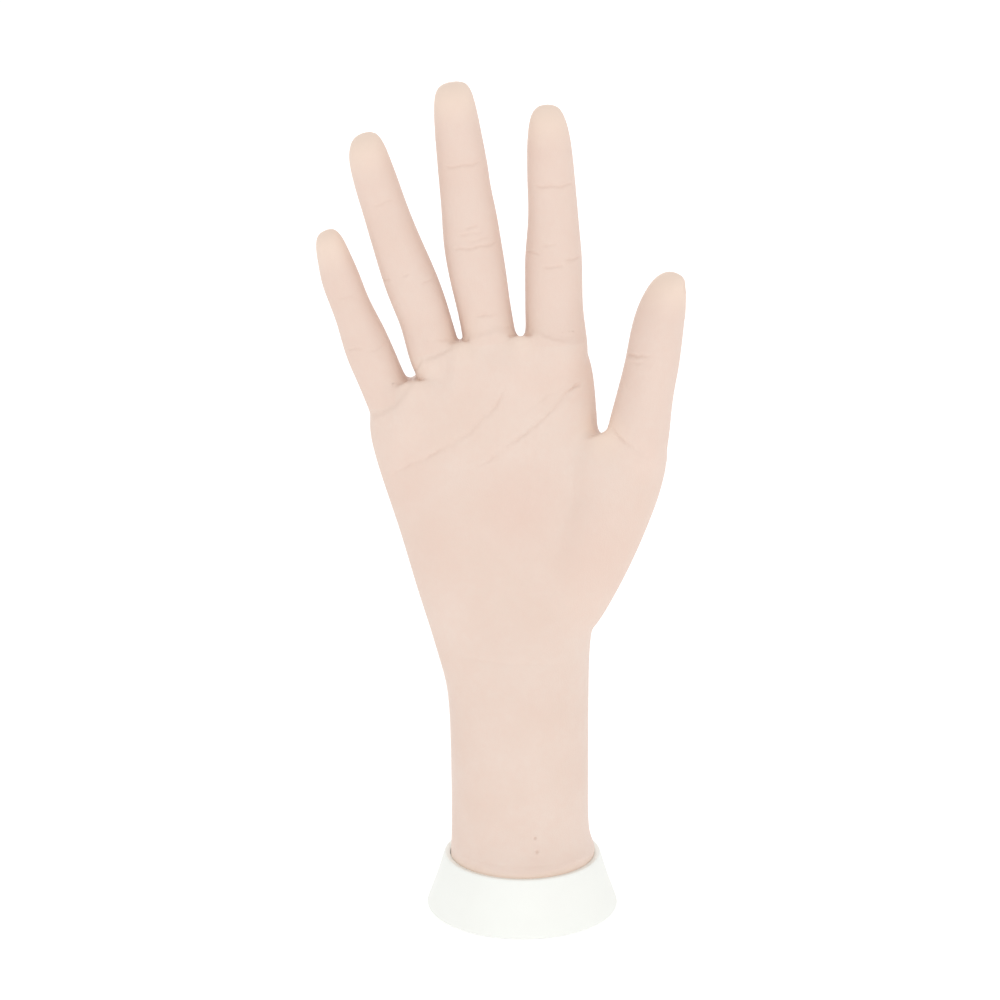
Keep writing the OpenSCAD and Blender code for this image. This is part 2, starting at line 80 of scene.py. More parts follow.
def add(tree, kind, **inputs):
    return feed(tree, tree.nodes.new(kind), **inputs)


def attribute(tree, name):
    node = tree.nodes.new("ShaderNodeAttribute")
    node.attribute_name = name
    return node.outputs


def noise(tree, where, scale, detail=3, roughness=0.5):
    node = add(tree, "ShaderNodeTexNoise", Vector=where, Scale=scale, Detail=detail, Roughness=roughness)
    return node.outputs["Fac"]


def spread(tree, value, low, high, to_low, to_high):
    """Maps a value from one range to another, and keeps it inside."""
    return add(tree, "ShaderNodeMapRange", i0=value, i1=low, i2=high, i3=to_low, i4=to_high).outputs[0]


def tint(tree, share, below, above):
    """Mixes two colours by a share. A colour is three numbers or another node's output."""
    node = tree.nodes.new("ShaderNodeMix")
    node.data_type = "RGBA"
    below, above = (c if isinstance(c, bpy.types.NodeSocket) else (*c, 1) for c in (below, above))
    return feed(tree, node, i0=share, i6=below, i7=above).outputs[2]


def bump(tree, height, strength, distance):
    return add(tree, "ShaderNodeBump", Strength=strength, Distance=distance, Height=height).outputs["Normal"]


def new_finish(name):
    finish = bpy.data.materials.new(name)
    finish.use_nodes = True
    return finish, finish.node_tree, finish.node_tree.nodes["Principled BSDF"]


# %% [markdown]
# ## Camera, floor and light
# The photograph looks slightly down at the palm through a long lens, so the fingers stay straight and
# parallel. A packshot like this is lit almost evenly: a bright room all round, one wide soft panel near the
# camera for a little shape, and a white floor. Placing lights first means that every later render can be
# compared at once.

# %% Camera
CAMERA_PLACE = (-7, -900, 383)
CAMERA_PITCH = math.radians(15.62)
LENS = 110.9
bpy.ops.object.select_all(action="DESELECT")
bpy.ops.object.camera_add(location=Vector(CAMERA_PLACE) * MM, rotation=(math.pi / 2 - CAMERA_PITCH, 0, 0))
camera = bpy.context.object
camera.data.lens = LENS
bpy.context.scene.camera = camera
print("camera lens", camera.data.lens, "mm")

# %% Floor and light
FLOOR_SIZE = 80
ROOM_GLOW = 0.86
HORIZON = (0.08, 0.2)
WHITE = (1, 1, 1, 1)
PANEL_PLACE = (0.3, -1.7, 0.7)
PANEL_SIZE, PANEL_POWER = 1.2, 4
HAND_MIDDLE = (0, 0, 0.14)

bpy.context.scene.view_settings.view_transform = "Standard"
bpy.ops.mesh.primitive_plane_add(size=FLOOR_SIZE)
floor = bpy.context.object
floor.name = "floor"

room = bpy.data.worlds.new("bright_room")
bpy.context.scene.world = room
room.use_nodes = True
tree = room.node_tree
direction = add(tree, "ShaderNodeSeparateXYZ", i0=tree.nodes.new("ShaderNodeTexCoord").outputs["Generated"])
glow = spread(tree, direction.outputs["Z"], *HORIZON, 1.0, ROOM_GLOW)
feed(tree, tree.nodes["Background"], Color=WHITE, Strength=glow)


def soft_panel(name, place, aim):
    """A square area light at a place, turned to an aim, both in metres."""
    turn = (Vector(aim) - Vector(place)).to_track_quat("-Z", "Y").to_euler()
    bpy.ops.object.light_add(type="AREA", location=place, rotation=turn)
    panel = bpy.context.object
    panel.name = name
    panel.data.size = PANEL_SIZE
    panel.data.energy = PANEL_POWER


along_x, along_y, height = PANEL_PLACE
soft_panel("front_panel", PANEL_PLACE, HAND_MIDDLE)
soft_panel("back_panel", (-along_x, -along_y, height), HAND_MIDDLE)

# %% [markdown]
# ## Helpers for working as by hand
# Nearly every operator acts on what is selected, so each step first selects one object and nothing else.

# %% Select one object
def only(obj):
    """Leaves obj as the one selected and active object, in object mode."""
    if bpy.context.object and bpy.context.object.mode != "OBJECT":
        bpy.ops.object.mode_set(mode="OBJECT")
    bpy.ops.object.select_all(action="DESELECT")
    obj.select_set(True)
    bpy.context.view_layer.objects.active = obj


def apply_modifier(obj, kind, **settings):
    """Adds one modifier, sets it and applies it."""
    only(obj)
    modifier = obj.modifiers.new(kind.lower(), kind)
    for key, value in settings.items():
        setattr(modifier, key, value)
    bpy.ops.object.modifier_apply(modifier=modifier.name)


def subdivide_smooth(obj, levels):
    apply_modifier(obj, "SUBSURF", levels=levels, render_levels=levels)


def places_of(obj):
    """The vertices as rows of x, y and z in millimetres."""
    flat = np.empty(len(obj.data.vertices) * 3)
    obj.data.vertices.foreach_get("co", flat)
    return flat.reshape(-1, 3) / MM


def move_to(obj, places):
    obj.data.vertices.foreach_set("co", (places * MM).ravel())
    obj.data.update()


def normals_of(obj):
    flat = np.empty(len(obj.data.vertices) * 3)
    obj.data.vertex_normals.foreach_get("vector", flat)
    return flat.reshape(-1, 3)


def select_faces(obj, mask):
    """Selects the faces of a true-or-false mask and opens edit mode in face mode."""
    only(obj)
    mesh = obj.data
    mesh.vertices.foreach_set("select", np.zeros(len(mesh.vertices), bool))
    mesh.edges.foreach_set("select", np.zeros(len(mesh.edges), bool))
    mesh.polygons.foreach_set("select", mask)
    bpy.context.tool_settings.mesh_select_mode = (False, False, True)
    bpy.ops.object.mode_set(mode="EDIT")


def face_middles(obj):
    flat = np.empty(len(obj.data.polygons) * 3)
    obj.data.polygons.foreach_get("center", flat)
    return flat.reshape(-1, 3) / MM


def ease(t):
    """A smooth step from 0 to 1."""
    t = np.clip(t, 0, 1)
    return t * t * (3 - 2 * t)


def between(value, low, high, fade_in, fade_out):
    """1 between two limits and 0 outside them, with a soft start and end inside."""
    return ease((value - low) / fade_in) * ease((high - value) / fade_out)


def bell(away, width):
    """A soft hill of height 1 over a line."""
    return np.exp(-((away / width) ** 2))


def hill(flat, middle, widths):
    """A soft round hill of height 1 over flat points."""
    return np.exp(-(((flat - middle) / widths) ** 2).sum(axis=1))


# %% [markdown]
# ## Where each finger is
# The frame already holds the hinges, so a finger's own axes come from there: along the bones, across the
# hinge pin, and out of the back. Working in those axes means that one set of steps makes all five fingers.

# %% Finger axes from the frame
FINGERS = ("thumb", "index", "middle", "ring", "little")
THUMB_TIP_MORE = 0.8


def read_finger(finger):
    names = [f"{finger}_{part}_bend" for part in ("root", "middle", "end")]
    hinges = [np.array(joints[n]["pos_m"]) / MM for n in names if n in joints]
    along = (hinges[1] - hinges[0]) / np.linalg.norm(hinges[1] - hinges[0])
    side = np.array(joints[names[0]]["axis"], float)
    tip_skin = places_of(frame["nodes"][f"{finger}_tip_skin"])
    more = THUMB_TIP_MORE if finger == "thumb" else 0
    return {
        "root": hinges[0],
        "axes": np.array([side, np.cross(along, side), along]),
        "stops": [np.linalg.norm(h - hinges[0]) for h in hinges],
        "length": float(((tip_skin - hinges[0]) @ along).max()) + more,
    }


fingers = {finger: read_finger(finger) for finger in FINGERS}


def in_finger(finger, places):
    """Places in a finger's own axes: across, out of the back, and along from the root hinge."""
    return (places - fingers[finger]["root"]) @ fingers[finger]["axes"].T


def from_finger(finger, places):
    return places @ fingers[finger]["axes"] + fingers[finger]["root"]


for finger, found in fingers.items():
    print(finger, "hinges at", [round(s, 1) for s in found["stops"]], "tip at", round(found["length"], 1))

# %% [markdown]
# ## Rough fingers
# A finger is a tube with waists at the joints and fuller pads between them. Sculpting it from a ball would
# take hundreds of strokes. Extruding one ring from station to station, and scaling it each time, puts every
# edge where the photograph has it. Edges are measured from the finger's middle line, to the little-finger
# side and thumb side.

# %% Extrude a tube through rings
ROUGH_LEVELS = 2


def loft(name, rings, sides, squareness):
    """A closed tube from one circle, extruded through rings of (middle, half width, half depth, tilt)."""
    bpy.ops.object.select_all(action="DESELECT")
    bpy.ops.mesh.primitive_circle_add(vertices=sides, radius=MM, fill_type="NGON")
    tube = bpy.context.object
    tube.name = name
    places = places_of(tube)
    move_to(tube, np.sign(places) * np.abs(places) ** (2 / squareness))
    bpy.ops.object.mode_set(mode="EDIT")
    bpy.ops.mesh.select_all(action="SELECT")
    here, width, depth, tilt = Vector((0, 0, 0)), 1, 1, 0
    for step, (middle, new_width, new_depth, new_tilt) in enumerate(rings):
        there = Vector(middle) * MM
        if step:
            bpy.ops.mesh.extrude_region_move()
        bpy.ops.transform.translate(value=there - here)
        bpy.ops.transform.rotate(value=-tilt, orient_axis="Y", center_override=there)
        bpy.ops.transform.resize(value=(new_width / width, new_depth / depth, 1), center_override=there)
        bpy.ops.transform.rotate(value=new_tilt, orient_axis="Y", center_override=there)
        here, width, depth, tilt = there, new_width, new_depth, new_tilt
    bpy.ops.mesh.select_all(action="SELECT")
    bpy.ops.mesh.normals_make_consistent(inside=False)
    bpy.ops.object.mode_set(mode="OBJECT")
    subdivide_smooth(tube, ROUGH_LEVELS)
    return tube


# %% Finger stations and edges
MIDDLE_SHARES = (0.35, 0.7)
TIP_SHARES = (0.25, 0.5, 0.72, 0.88, 0.97)
EDGES = {
    "thumb": ((-10, 10.4), (-9.2, 9.9), (-8.6, 8.9), (-8.3, 8.2), (-8.2, 7.9),
              (-8.6, 7.5), (-8.4, 6.7), (-7.3, 5.7), (-5.9, 4.7), (-4.1, 3.2)),
    "index": ((-8.6, 10.6), (-8.8, 9.8), (-8.6, 8.7), (-8.4, 8.9), (-8.3, 9), (-7.3, 8.4), (-6.7, 8),
              (-6.9, 7.6), (-6.8, 7.2), (-6.7, 6.7), (-6.2, 5.9), (-5.3, 4.6), (-3.8, 3.2)),
    "middle": ((-7.3, 9), (-7.3, 8.8), (-7.65, 8.2), (-8.8, 8.5), (-9.2, 8.2), (-8.4, 8.1), (-7.9, 7.3),
               (-7.6, 7.5), (-7.2, 7.1), (-6.8, 6.8), (-6.2, 6.4), (-5.5, 5.7), (-3.9, 4.5)),
    "ring": ((-9, 7.2), (-8.5, 7.2), (-7.5, 7.75), (-8.2, 8), (-8.2, 7.5), (-7.7, 6.9), (-7.3, 6.5),
             (-6.9, 6.4), (-6.7, 6.5), (-6.2, 6.4), (-5.6, 6.3), (-4.1, 5.6), (-2.4, 4.3)),
    "little": ((-7, 7.4), (-7.1, 7.3), (-7.3, 6.8), (-7.7, 6.6), (-7.3, 6.2), (-6.6, 5.5), (-6.5, 5.1),
               (-6.6, 5.2), (-6.3, 5.2), (-5.3, 4.9), (-4.6, 4.7), (-3.6, 4), (-2.4, 3.1)),
}
PAD_DEPTH = (1.2, 1.2, 0.98, 1.02, 0.9, 0.96, 0.93, 0.87, 0.93, 0.98, 0.94, 0.8, 0.32)
THUMB_PAD_DEPTH = (0.8, 0.98, 0.98, 0.97, 0.96, 0.96, 0.98, 0.94, 0.8, 0.32)
BACK_DEPTH = (0.85, 0.98, 0.93, 0.88, 0.95, 0.88, 0.85, 0.87, 0.85, 0.86, 0.88, 0.98, 1.05)
THUMB_BACK_DEPTH = BACK_DEPTH[:5] + BACK_DEPTH[8:]
STUB, WEB_DEPTH = 20, 8
FINGER_SIDES, FINGER_SQUARENESS = 24, 2.2
CAP_SHRINK = 3


def stations(finger):
    """Distances along a finger where its width is set, from inside the palm to just below the tip."""
    stops, length = fingers[finger]["stops"], fingers[finger]["length"]
    found = [-STUB, -WEB_DEPTH, 0, stops[1] / 2, stops[1]]
    if len(stops) == 3:
        found += [stops[1] + share * (stops[2] - stops[1]) for share in MIDDLE_SHARES] + [stops[2]]
    return found + [stops[-1] + share * (length - stops[-1]) for share in TIP_SHARES]


def edges_at(finger, along):
    """The left and right edge of a finger at a distance along it."""
    return [np.interp(along, stations(finger), edge) for edge in zip(*EDGES[finger])]


def rough_finger(finger):
    pads, backs = (THUMB_PAD_DEPTH, THUMB_BACK_DEPTH) if finger == "thumb" else (PAD_DEPTH, BACK_DEPTH)
    rings = []
    for along, (left, right), pad, back in zip(stations(finger), EDGES[finger], pads, backs):
        half = (right - left) / 2
        middle = ((left + right) / 2, half * (back - pad) / 2, along)
        rings.append((middle, half, half * (back + pad) / 2, 0))
    middle, width, depth, _ = rings[-1]
    tip = (middle[0], middle[1], fingers[finger]["length"])
    rings.append((tip, width / CAP_SHRINK, depth / CAP_SHRINK, 0))
    tube = loft(f"{finger}_rough", rings, FINGER_SIDES, FINGER_SQUARENESS)
    move_to(tube, from_finger(finger, places_of(tube)))
    return tube


rough_parts = [rough_finger(finger) for finger in FINGERS]
print("rough fingers:", [o.name for o in rough_parts])

# %% [markdown]
# ## Rough palm and wrist
# The palm is one more tube, from the round end that stands in the cup to the row of knuckles. Its rings
# tilt, because the little finger starts lower than the index finger. A short flat tube joins the roots of
# the other three fingers, and the thumb's fleshy base is a tube that starts inside the palm. The webs
# between the fingers are squashed balls that only just break the surface.

# %% Palm, wrist and the base of the thumb
shell = places_of(frame["nodes"]["stand_shell"])
shell_r = np.hypot(shell[:, 0], shell[:, 1])
OUTSIDE_POST, RIM_BAND = 20, 0.6
RIM_Z = shell[shell_r > OUTSIDE_POST][:, 2].max()
at_rim = (shell[:, 2] > RIM_Z - RIM_BAND) & (shell_r > OUTSIDE_POST)
RIM_R = shell_r[at_rim].max()
RIM_WALL, WRIST_GAP, WRIST_SWELL = 1.2, 0.6, 1.03
WRIST_R = RIM_R - RIM_WALL - WRIST_GAP
WRIST_LEFT, WRIST_END = -WRIST_R, WRIST_SWELL * WRIST_R
PALM_SIDES = 32

# Each ring: left x and z, right x and z, depth in front of and behind the middle plane
PALM_RINGS = (
    (WRIST_LEFT, 8.7, WRIST_END, 8.7, WRIST_END, WRIST_END),
    (WRIST_LEFT, 15, WRIST_END, 15, WRIST_END, WRIST_END),
    (WRIST_LEFT, 17.8, WRIST_END, 17.8, WRIST_END, WRIST_END),
    (-22.2, 22.4, 21.2, 22.4, 20.5, 20.6),
    (-22.2, 28, 20.6, 28, 18.9, 19.1),
    (-22.2, 42, 20.6, 42, 18.2, 18.3),
    (-22.5, 58, 20.4, 58, 18, 18),
    (-23.1, 72, 20.5, 72, 17.4, 17.2),
    (-25.7, 81, 20.5, 81, 16.6, 16),
    (-28.1, 90, 21.2, 91, 15.6, 14.6),
    (-32.1, 104, 23.3, 104, 14.4, 13.2),
    (-36.8, 120, 24.4, 120, 13.4, 12.3),
    (-42, 135.5, 24.3, 136, 12.6, 11.8),
    (-45.8, 148, 23.2, 150, 12, 11.4),
    (-46.9, 157, 22, 163, 11.8, 11),
    (-45.2, 163.5, 21, 173, 11.2, 10.4),
    (-40.5, 166.5, 18.6, 179.5, 10.4, 9),
    (-36.5, 168, 17.6, 184, 8.6, 7),
)
THUMB_BASE_RINGS = (
    (-6, 87, 19.4, 87.5, 11, 9),
    (-4.5, 96, 24.5, 95.5, 12.2, 9.6),
    (-3, 104, 28.1, 103, 13.2, 10),
    (4, 121, 36.2, 120, 13.8, 9),
    (13, 136, 41.6, 134, 14, 7.5),
    (20.5, 147.5, 43.6, 145, 14, 5),
    (26, 156, 43.9, 152.5, 14, 2.6),
)
KNUCKLE_RINGS = (
    (-33, 157, 20.5, 166, 11.2, 10),
    (-32.6, 165.6, 19.6, 173.5, 10.9, 9.4),
    (-30.6, 173, 18.6, 179, 10.5, 8.6),
    (-28.4, 177.6, 17.8, 182.2, 9.4, 7.4),
)


def ring_between(left_x, left_z, right_x, right_z, front, back):
    """One ring from its two side points and its depths in front of and behind the middle plane."""
    across, rise = right_x - left_x, right_z - left_z
    middle = ((left_x + right_x) / 2, (back - front) / 2, (left_z + right_z) / 2)
    return middle, math.hypot(across, rise) / 2, (front + back) / 2, math.atan2(rise, across)


for name, rings, sides, squareness in (
    ("palm_rough", PALM_RINGS, PALM_SIDES, 2.3),
    ("knuckle_rough", KNUCKLE_RINGS, PALM_SIDES, 2.6),
    ("thumb_base_rough", THUMB_BASE_RINGS, FINGER_SIDES, 2.1),
):
    rough_parts.append(loft(name, [ring_between(*ring) for ring in rings], sides, squareness))

# %% Webs
BALL_SEGMENTS, BALL_RINGS = 32, 20

# Each ball: middle, radii and squareness
WEB_BALLS = (
    ((-0.8, -4.4, 173.4), (4.8, 7.2, 9), 3),
    ((-18.5, -4.4, 172), (4.4, 7.2, 9), 3),
    ((-34.6, -4.2, 159), (4.8, 7, 9.2), 3),
    ((21.5, -4.6, 141.6), (8, 8.2, 11.2), 2.2),
)


def web_ball(middle, radii, squareness):
    bpy.ops.object.select_all(action="DESELECT")
    bpy.ops.mesh.primitive_uv_sphere_add(segments=BALL_SEGMENTS, ring_count=BALL_RINGS, radius=MM)
    ball = bpy.context.object
    places = places_of(ball)
    move_to(ball, np.sign(places) * np.abs(places) ** (2 / squareness))
    bpy.ops.transform.resize(value=radii)
    bpy.ops.transform.translate(value=Vector(middle) * MM)
    bpy.ops.object.transform_apply(location=True, rotation=True, scale=True)
    return ball


rough_parts += [web_ball(*ball) for ball in WEB_BALLS]
print("rough parts:", len(rough_parts))

# %% [markdown]
# ## One skin
# Joining the tubes and balls and remeshing them with small voxels melts them into one closed surface, as
# clay would. The creases left where they meet are then smoothed: a little everywhere, and much more at the
# webs.

# %% Join and remesh
VOXEL = 0.62
only(rough_parts[0])
for part in rough_parts:
    part.select_set(True)
bpy.ops.object.join()
skin = bpy.context.object
skin.name = "hand_skin"
bpy.ops.object.transform_apply(location=True, rotation=True, scale=True)
skin.data.remesh_voxel_size = VOXEL * MM
bpy.ops.object.voxel_remesh()
print("remeshed faces:", len(skin.data.polygons))

# %% Smooth the joins
WEBS = (((-0.7, -1, 181), 11), ((-18.4, -1, 175), 8), ((-34.9, -1, 168), 10.5), ((22.5, -4, 149), 14))
WEB_STRETCH = (1, 0.6, 1)
WEB_CORE = 1.6
PALM_FROM, PALM_TO, PALM_FADES = 22, 170, (8, 20)
ROOT_FROM, ROOT_TO, ROOT_FADES = -30, 2, (12, 10)
BROAD_FROM, BROAD_FADE = 0.35, 0.4
THUMB_FROM_X = 24
LEAST_WEIGHT, SMOOTH_FACTOR = 0.01, 0.5
ROUNDS_ALL = 10
ROUNDS = {"palm": 40, "webs": 45, "broad": 150, "roots": 120}


def add_group(obj, name, weight):
    """Keeps a weight for each vertex as a vertex group."""
    group = obj.vertex_groups.new(name=name)
    for index in np.flatnonzero(weight > LEAST_WEIGHT):
        group.add([int(index)], float(weight[index]), "REPLACE")


def relax(obj, rounds, group=""):
    apply_modifier(obj, "SMOOTH", factor=SMOOTH_FACTOR, iterations=rounds, vertex_group=group)


places = places_of(skin)
web_weight, root_weight = np.zeros(len(places)), np.zeros(len(places))
for middle, reach in WEBS:
    away = np.linalg.norm((places - middle) * WEB_STRETCH, axis=1)
    web_weight = np.maximum(web_weight, ease(WEB_CORE * (1 - away / reach)))
for finger in FINGERS[1:]:
    along = in_finger(finger, places)[:, 2]
    root_weight = np.maximum(root_weight, between(along, ROOT_FROM, ROOT_TO, *ROOT_FADES))
palm_weight = between(places[:, 2], PALM_FROM, PALM_TO, *PALM_FADES)
broad = ease((np.abs(normals_of(skin)[:, 1]) - BROAD_FROM) / BROAD_FADE)
weights = {
    "palm": palm_weight,
    "webs": web_weight,
    "broad": palm_weight * broad,
    "roots": root_weight * broad * (places[:, 0] < THUMB_FROM_X),
}
for group, weight in weights.items():
    add_group(skin, group, weight)
relax(skin, ROUNDS_ALL)
for group, rounds in ROUNDS.items():
    relax(skin, rounds, group)
print("smoothed", len(places), "points")

# %% Draw up the front edges of the webs
LIP_FROM, LIP_FADE = 6, 3.5
LIP_SMOOTH_FROM, LIP_SMOOTH_FADE = 3, 2
LIP_ROUNDS = 48

# Each lip: middle, how far it is drawn up, and how much painted light brightens its shade
WEB_LIPS = (
    ((23.6, 151.7), 3.7, 0.75),
    ((-0.9, 181.4), 4.2, 0.5),
    ((-18.4, 180.2), 3.5, 0.5),
    ((-34, 168), 4.8, 0.4),
)
WEB_LIP_SPREAD = (6, 6)

places = places_of(skin)
flat = places[:, (0, 2)]
forward = ease((-places[:, 1] - LIP_FROM) / LIP_FADE)
near_front = ease((-places[:, 1] - LIP_SMOOTH_FROM) / LIP_SMOOTH_FADE)
lips = np.zeros(len(places))
for middle, lift, _ in WEB_LIPS:
    here = hill(flat, middle, WEB_LIP_SPREAD)
    places[:, 2] += lift * forward * here
    lips = np.maximum(lips, near_front * here)
move_to(skin, places)
add_group(skin, "lips", lips)
relax(skin, LIP_ROUNDS, "lips")
skin.vertex_groups.clear()
print("web edges drawn up by", [lift for _, lift, _ in WEB_LIPS], "mm")

# %% [markdown]
# ## Broad forms
# A cast of a real hand has soft hills and hollows: the ball of the thumb, the heel of the palm, a pad under
# each finger, and on the back the knuckles, the tendons that run to them and the wrist bone. In sculpt mode
# these would be strokes of an inflate brush. Here each one is a soft hill in numbers: a middle, a spread
# and a height along the normal.

# %% Hills and hollows
# Each form: middle, spread and height
FRONT_FORMS = (
    ((24, 118), (14, 25), 1.9),
    ((-26, 112), (12, 28), 1.6),
    ((-4, 142), (13, 19), -1.5),
    ((9, 172), (8, 9), 0.3),
    ((-11, 173), (8, 9), 0.3),
    ((-28, 167), (7, 9), 0.3),
    ((-40, 154), (6, 8), 0.4),
)
PAD_EDGE = (
    (-47, 157.5), (-44, 159.3), (-38, 163), (-33, 169.6), (-30, 176.5), (-25.6, 178.1), (-22, 180),
    (-17.4, 182.8), (-12, 184.8), (-8, 185.9), (-1, 184.7), (4.3, 185.3), (10.8, 183.6), (17.7, 182.5),
    (21, 181.5),
)
PAD_STEP, PAD_STEP_WIDTH, PAD_LENGTH = 0.5, 2.4, 14
BACK_FORMS = (
    ((9.5, 170), (6.5, 9.5), 1.7),
    ((-11.5, 172), (6.5, 9.5), 1.9),
    ((-28, 166.5), (6, 9), 1.7),
    ((-41, 154.5), (5, 8), 1.3),
    ((-1, 172), (3.5, 8), -0.8),
    ((-20, 169.5), (3.5, 8), -0.8),
    ((-35, 160), (3.5, 7), -0.6),
    ((-15, 82), (6, 7), 1.5),
    ((16, 145), (8, 14), 1.2),
)
TENDON_STARTS = ((5, 100), (-2, 96), (-9, 96), (-16, 100))
TENDON_HALF_WIDTH, TENDON_HEIGHT, TENDON_FADES = 2, 0.55, (0.6, 0.15)
BROAD_FACING = 0.7
CUP_CLEAR, CUP_FLARE = 6, 0.12


def line_distance(points, line):
    """Distance of flat points to a straight-sided line, and the nearest spot's share of its length."""
    line = np.array(line, float)
    lengths = np.linalg.norm(np.diff(line, axis=0), axis=1)
    reached = np.concatenate([[0], np.cumsum(lengths)])
    best, share = np.full(len(points), 1e9), np.zeros(len(points))
    for start, end, length, before in zip(line, line[1:], lengths, reached):
        along = np.clip((points - start) @ (end - start) / length**2, 0, 1)
        away = np.linalg.norm(points - start - along[:, None] * (end - start), axis=1)
        closer = away < best
        best[closer] = away[closer]
        share[closer] = ((before + along * length) / reached[-1])[closer]
    return best, share


places, normals = places_of(skin), normals_of(skin)
flat = places[:, (0, 2)]
front, back = ease(-normals[:, 1] / BROAD_FACING), ease(normals[:, 1] / BROAD_FACING)
rise = np.zeros(len(places))
for facing, forms in ((front, FRONT_FORMS), (back, BACK_FORMS)):
    for middle, widths, height in forms:
        rise += facing * height * hill(flat, middle, widths)
below_edge = np.interp(flat[:, 0], *zip(*PAD_EDGE)) - flat[:, 1]
on_pads = front * (flat[:, 0] < PAD_EDGE[-1][0]) * bell(np.maximum(below_edge, 0), PAD_LENGTH)
rise += on_pads * PAD_STEP * ease(below_edge / PAD_STEP_WIDTH + 0.5)
for start, (middle, _, _) in zip(TENDON_STARTS, BACK_FORMS):
    away, share = line_distance(flat, (start, middle))
    rise += back * between(share, 0, 1, *TENDON_FADES) * TENDON_HEIGHT * bell(away, TENDON_HALF_WIDTH)
places += normals * rise[:, None]
above_rim = places[:, 2] - RIM_Z
cup_room = np.where(above_rim < CUP_CLEAR, WRIST_R + CUP_FLARE * np.maximum(above_rim, 0), np.inf)
places[:, :2] *= np.minimum(1, cup_room / np.hypot(places[:, 0], places[:, 1]))[:, None]
move_to(skin, places)
print("highest hill", round(rise.max(), 2), "mm, deepest hollow", round(rise.min(), 2), "mm")

# %% [markdown]
# ## Finer skin where it is needed
# A crease is about a millimetre wide, so the fingers and the lines of the palm need smaller faces than the
# rest. Subdividing only those faces keeps the palm light. The subdivision is smoothed, so that the new
# points lie on the curve.

# %% Lines of the palm and wrist
# Each line: points, depth of its soft valley and depth of its sharp core
PALM_LINES = (
    (((-43, 139.6), (-38.5, 142.2), (-30.6, 146.8), (-23, 151),
      (-17.3, 154.5), (-10.3, 161), (-5.1, 168), (-3.6, 176)), 0.25, 0.18),
    (((-17, 141), (-7.4, 149.2), (-1.1, 153.4), (7, 159.9),
      (13, 166.4), (16.5, 170), (21, 171.8)), 0.22, 0.18),
    (((10, 163.4), (13.6, 167.4), (18.4, 170)), 0.2, 0.4),
    (((0.5, 161), (5.3, 164.9), (10, 167.6), (14.5, 169)), 0.08, 0.12),
    (((12, 163), (6.4, 156), (3, 148), (1.2, 139), (1.6, 128)), 0.14, 0.03),
    (((-26, 87.4), (-8, 84.6), (8, 83.8), (20.8, 83)), 0.07, 0.03),
    (((-20, 21.8), (-8, 20.7), (6, 20.5), (18, 21.4)), 0.04, 0.08),
    (((23.4, 159.4), (29, 154), (33.5, 150.4), (38.5, 148)), 0.2, 0.24),
    (((-46, 158.6), (-44, 159.6), (-38.1, 163.3)), 0.1, 0.16),
    (((-31, 177), (-25.6, 178.3), (-21, 180.8)), 0.08, 0.14),
    (((-28.6, 181.8), (-25.5, 183.2), (-21.6, 183)), 0.08, 0.2),
    (((-15.2, 189.9), (-11, 190.6), (-6.6, 190.8)), 0.06, 0.2),
    (((2.6, 185.7), (10.8, 183.6), (18, 182.4)), 0.06, 0.14),
    (((27.6, 177.5), (33, 178.6), (39, 179)), 0.08, 0.38),
    (((31, 176.4), (34, 176.9), (38.6, 177)), 0.04, 0.22),
)
VALLEY_HALF_WIDTH, LINE_HALF_WIDTH = 1.1, 0.36
WRIST_SPECKS = ((3.8, 29), (4.4, 24.8))
SPECK_SIZE, SPECK_DEPTH = 0.38, 0.5
CORNER_CUTS = 3


def round_line(line):
    """Cuts the corners of a line again and again, until it is a smooth curve."""
    line = np.array(line, float)
    for _ in range(CORNER_CUTS):
        quarter = 0.75 * line[:-1] + 0.25 * line[1:]
        three_quarters = 0.25 * line[:-1] + 0.75 * line[1:]
        cut = np.stack([quarter, three_quarters], axis=1).reshape(-1, 2)
        line = np.concatenate([line[:1], cut, line[-1:]])
    return line


palm_lines = [(round_line(line), valley, core) for line, valley, core in PALM_LINES]

# %% Subdivide the fingers and the lines
FINGER_FROM, FINGER_ROOM = -9, 1.8
FRONT_FROM = -3
LINE_REACH, SPECK_REACH = 1.8, 1.5


def nearest_finger(places):
    """The number of the finger that each place is on, or -1 below the webs."""
    best, nearest = np.full(len(places), FINGER_ROOM), np.full(len(places), -1)
    for number, finger in enumerate(FINGERS):
        across, out, along = in_finger(finger, places).T
        left, right = edges_at(finger, along)
        half = (right - left) / 2
        apart = ((across - (left + right) / 2) ** 2 + out**2) / half**2
        closer = (along > FINGER_FROM) & (apart < best)
        best[closer], nearest[closer] = apart[closer], number
    return nearest


middles = face_middles(skin)
fine = nearest_finger(middles) >= 0
on_front = middles[:, 1] < FRONT_FROM
flat = middles[:, (0, 2)]
for line, _, _ in palm_lines:
    fine |= on_front & (line_distance(flat, line)[0] < LINE_REACH)
for speck in WRIST_SPECKS:
    fine |= on_front & (np.linalg.norm(flat - speck, axis=1) < SPECK_REACH)
select_faces(skin, fine)
bpy.ops.mesh.subdivide(number_cuts=1, smoothness=1)
bpy.ops.object.mode_set(mode="OBJECT")
print("faces after subdividing:", len(skin.data.polygons))
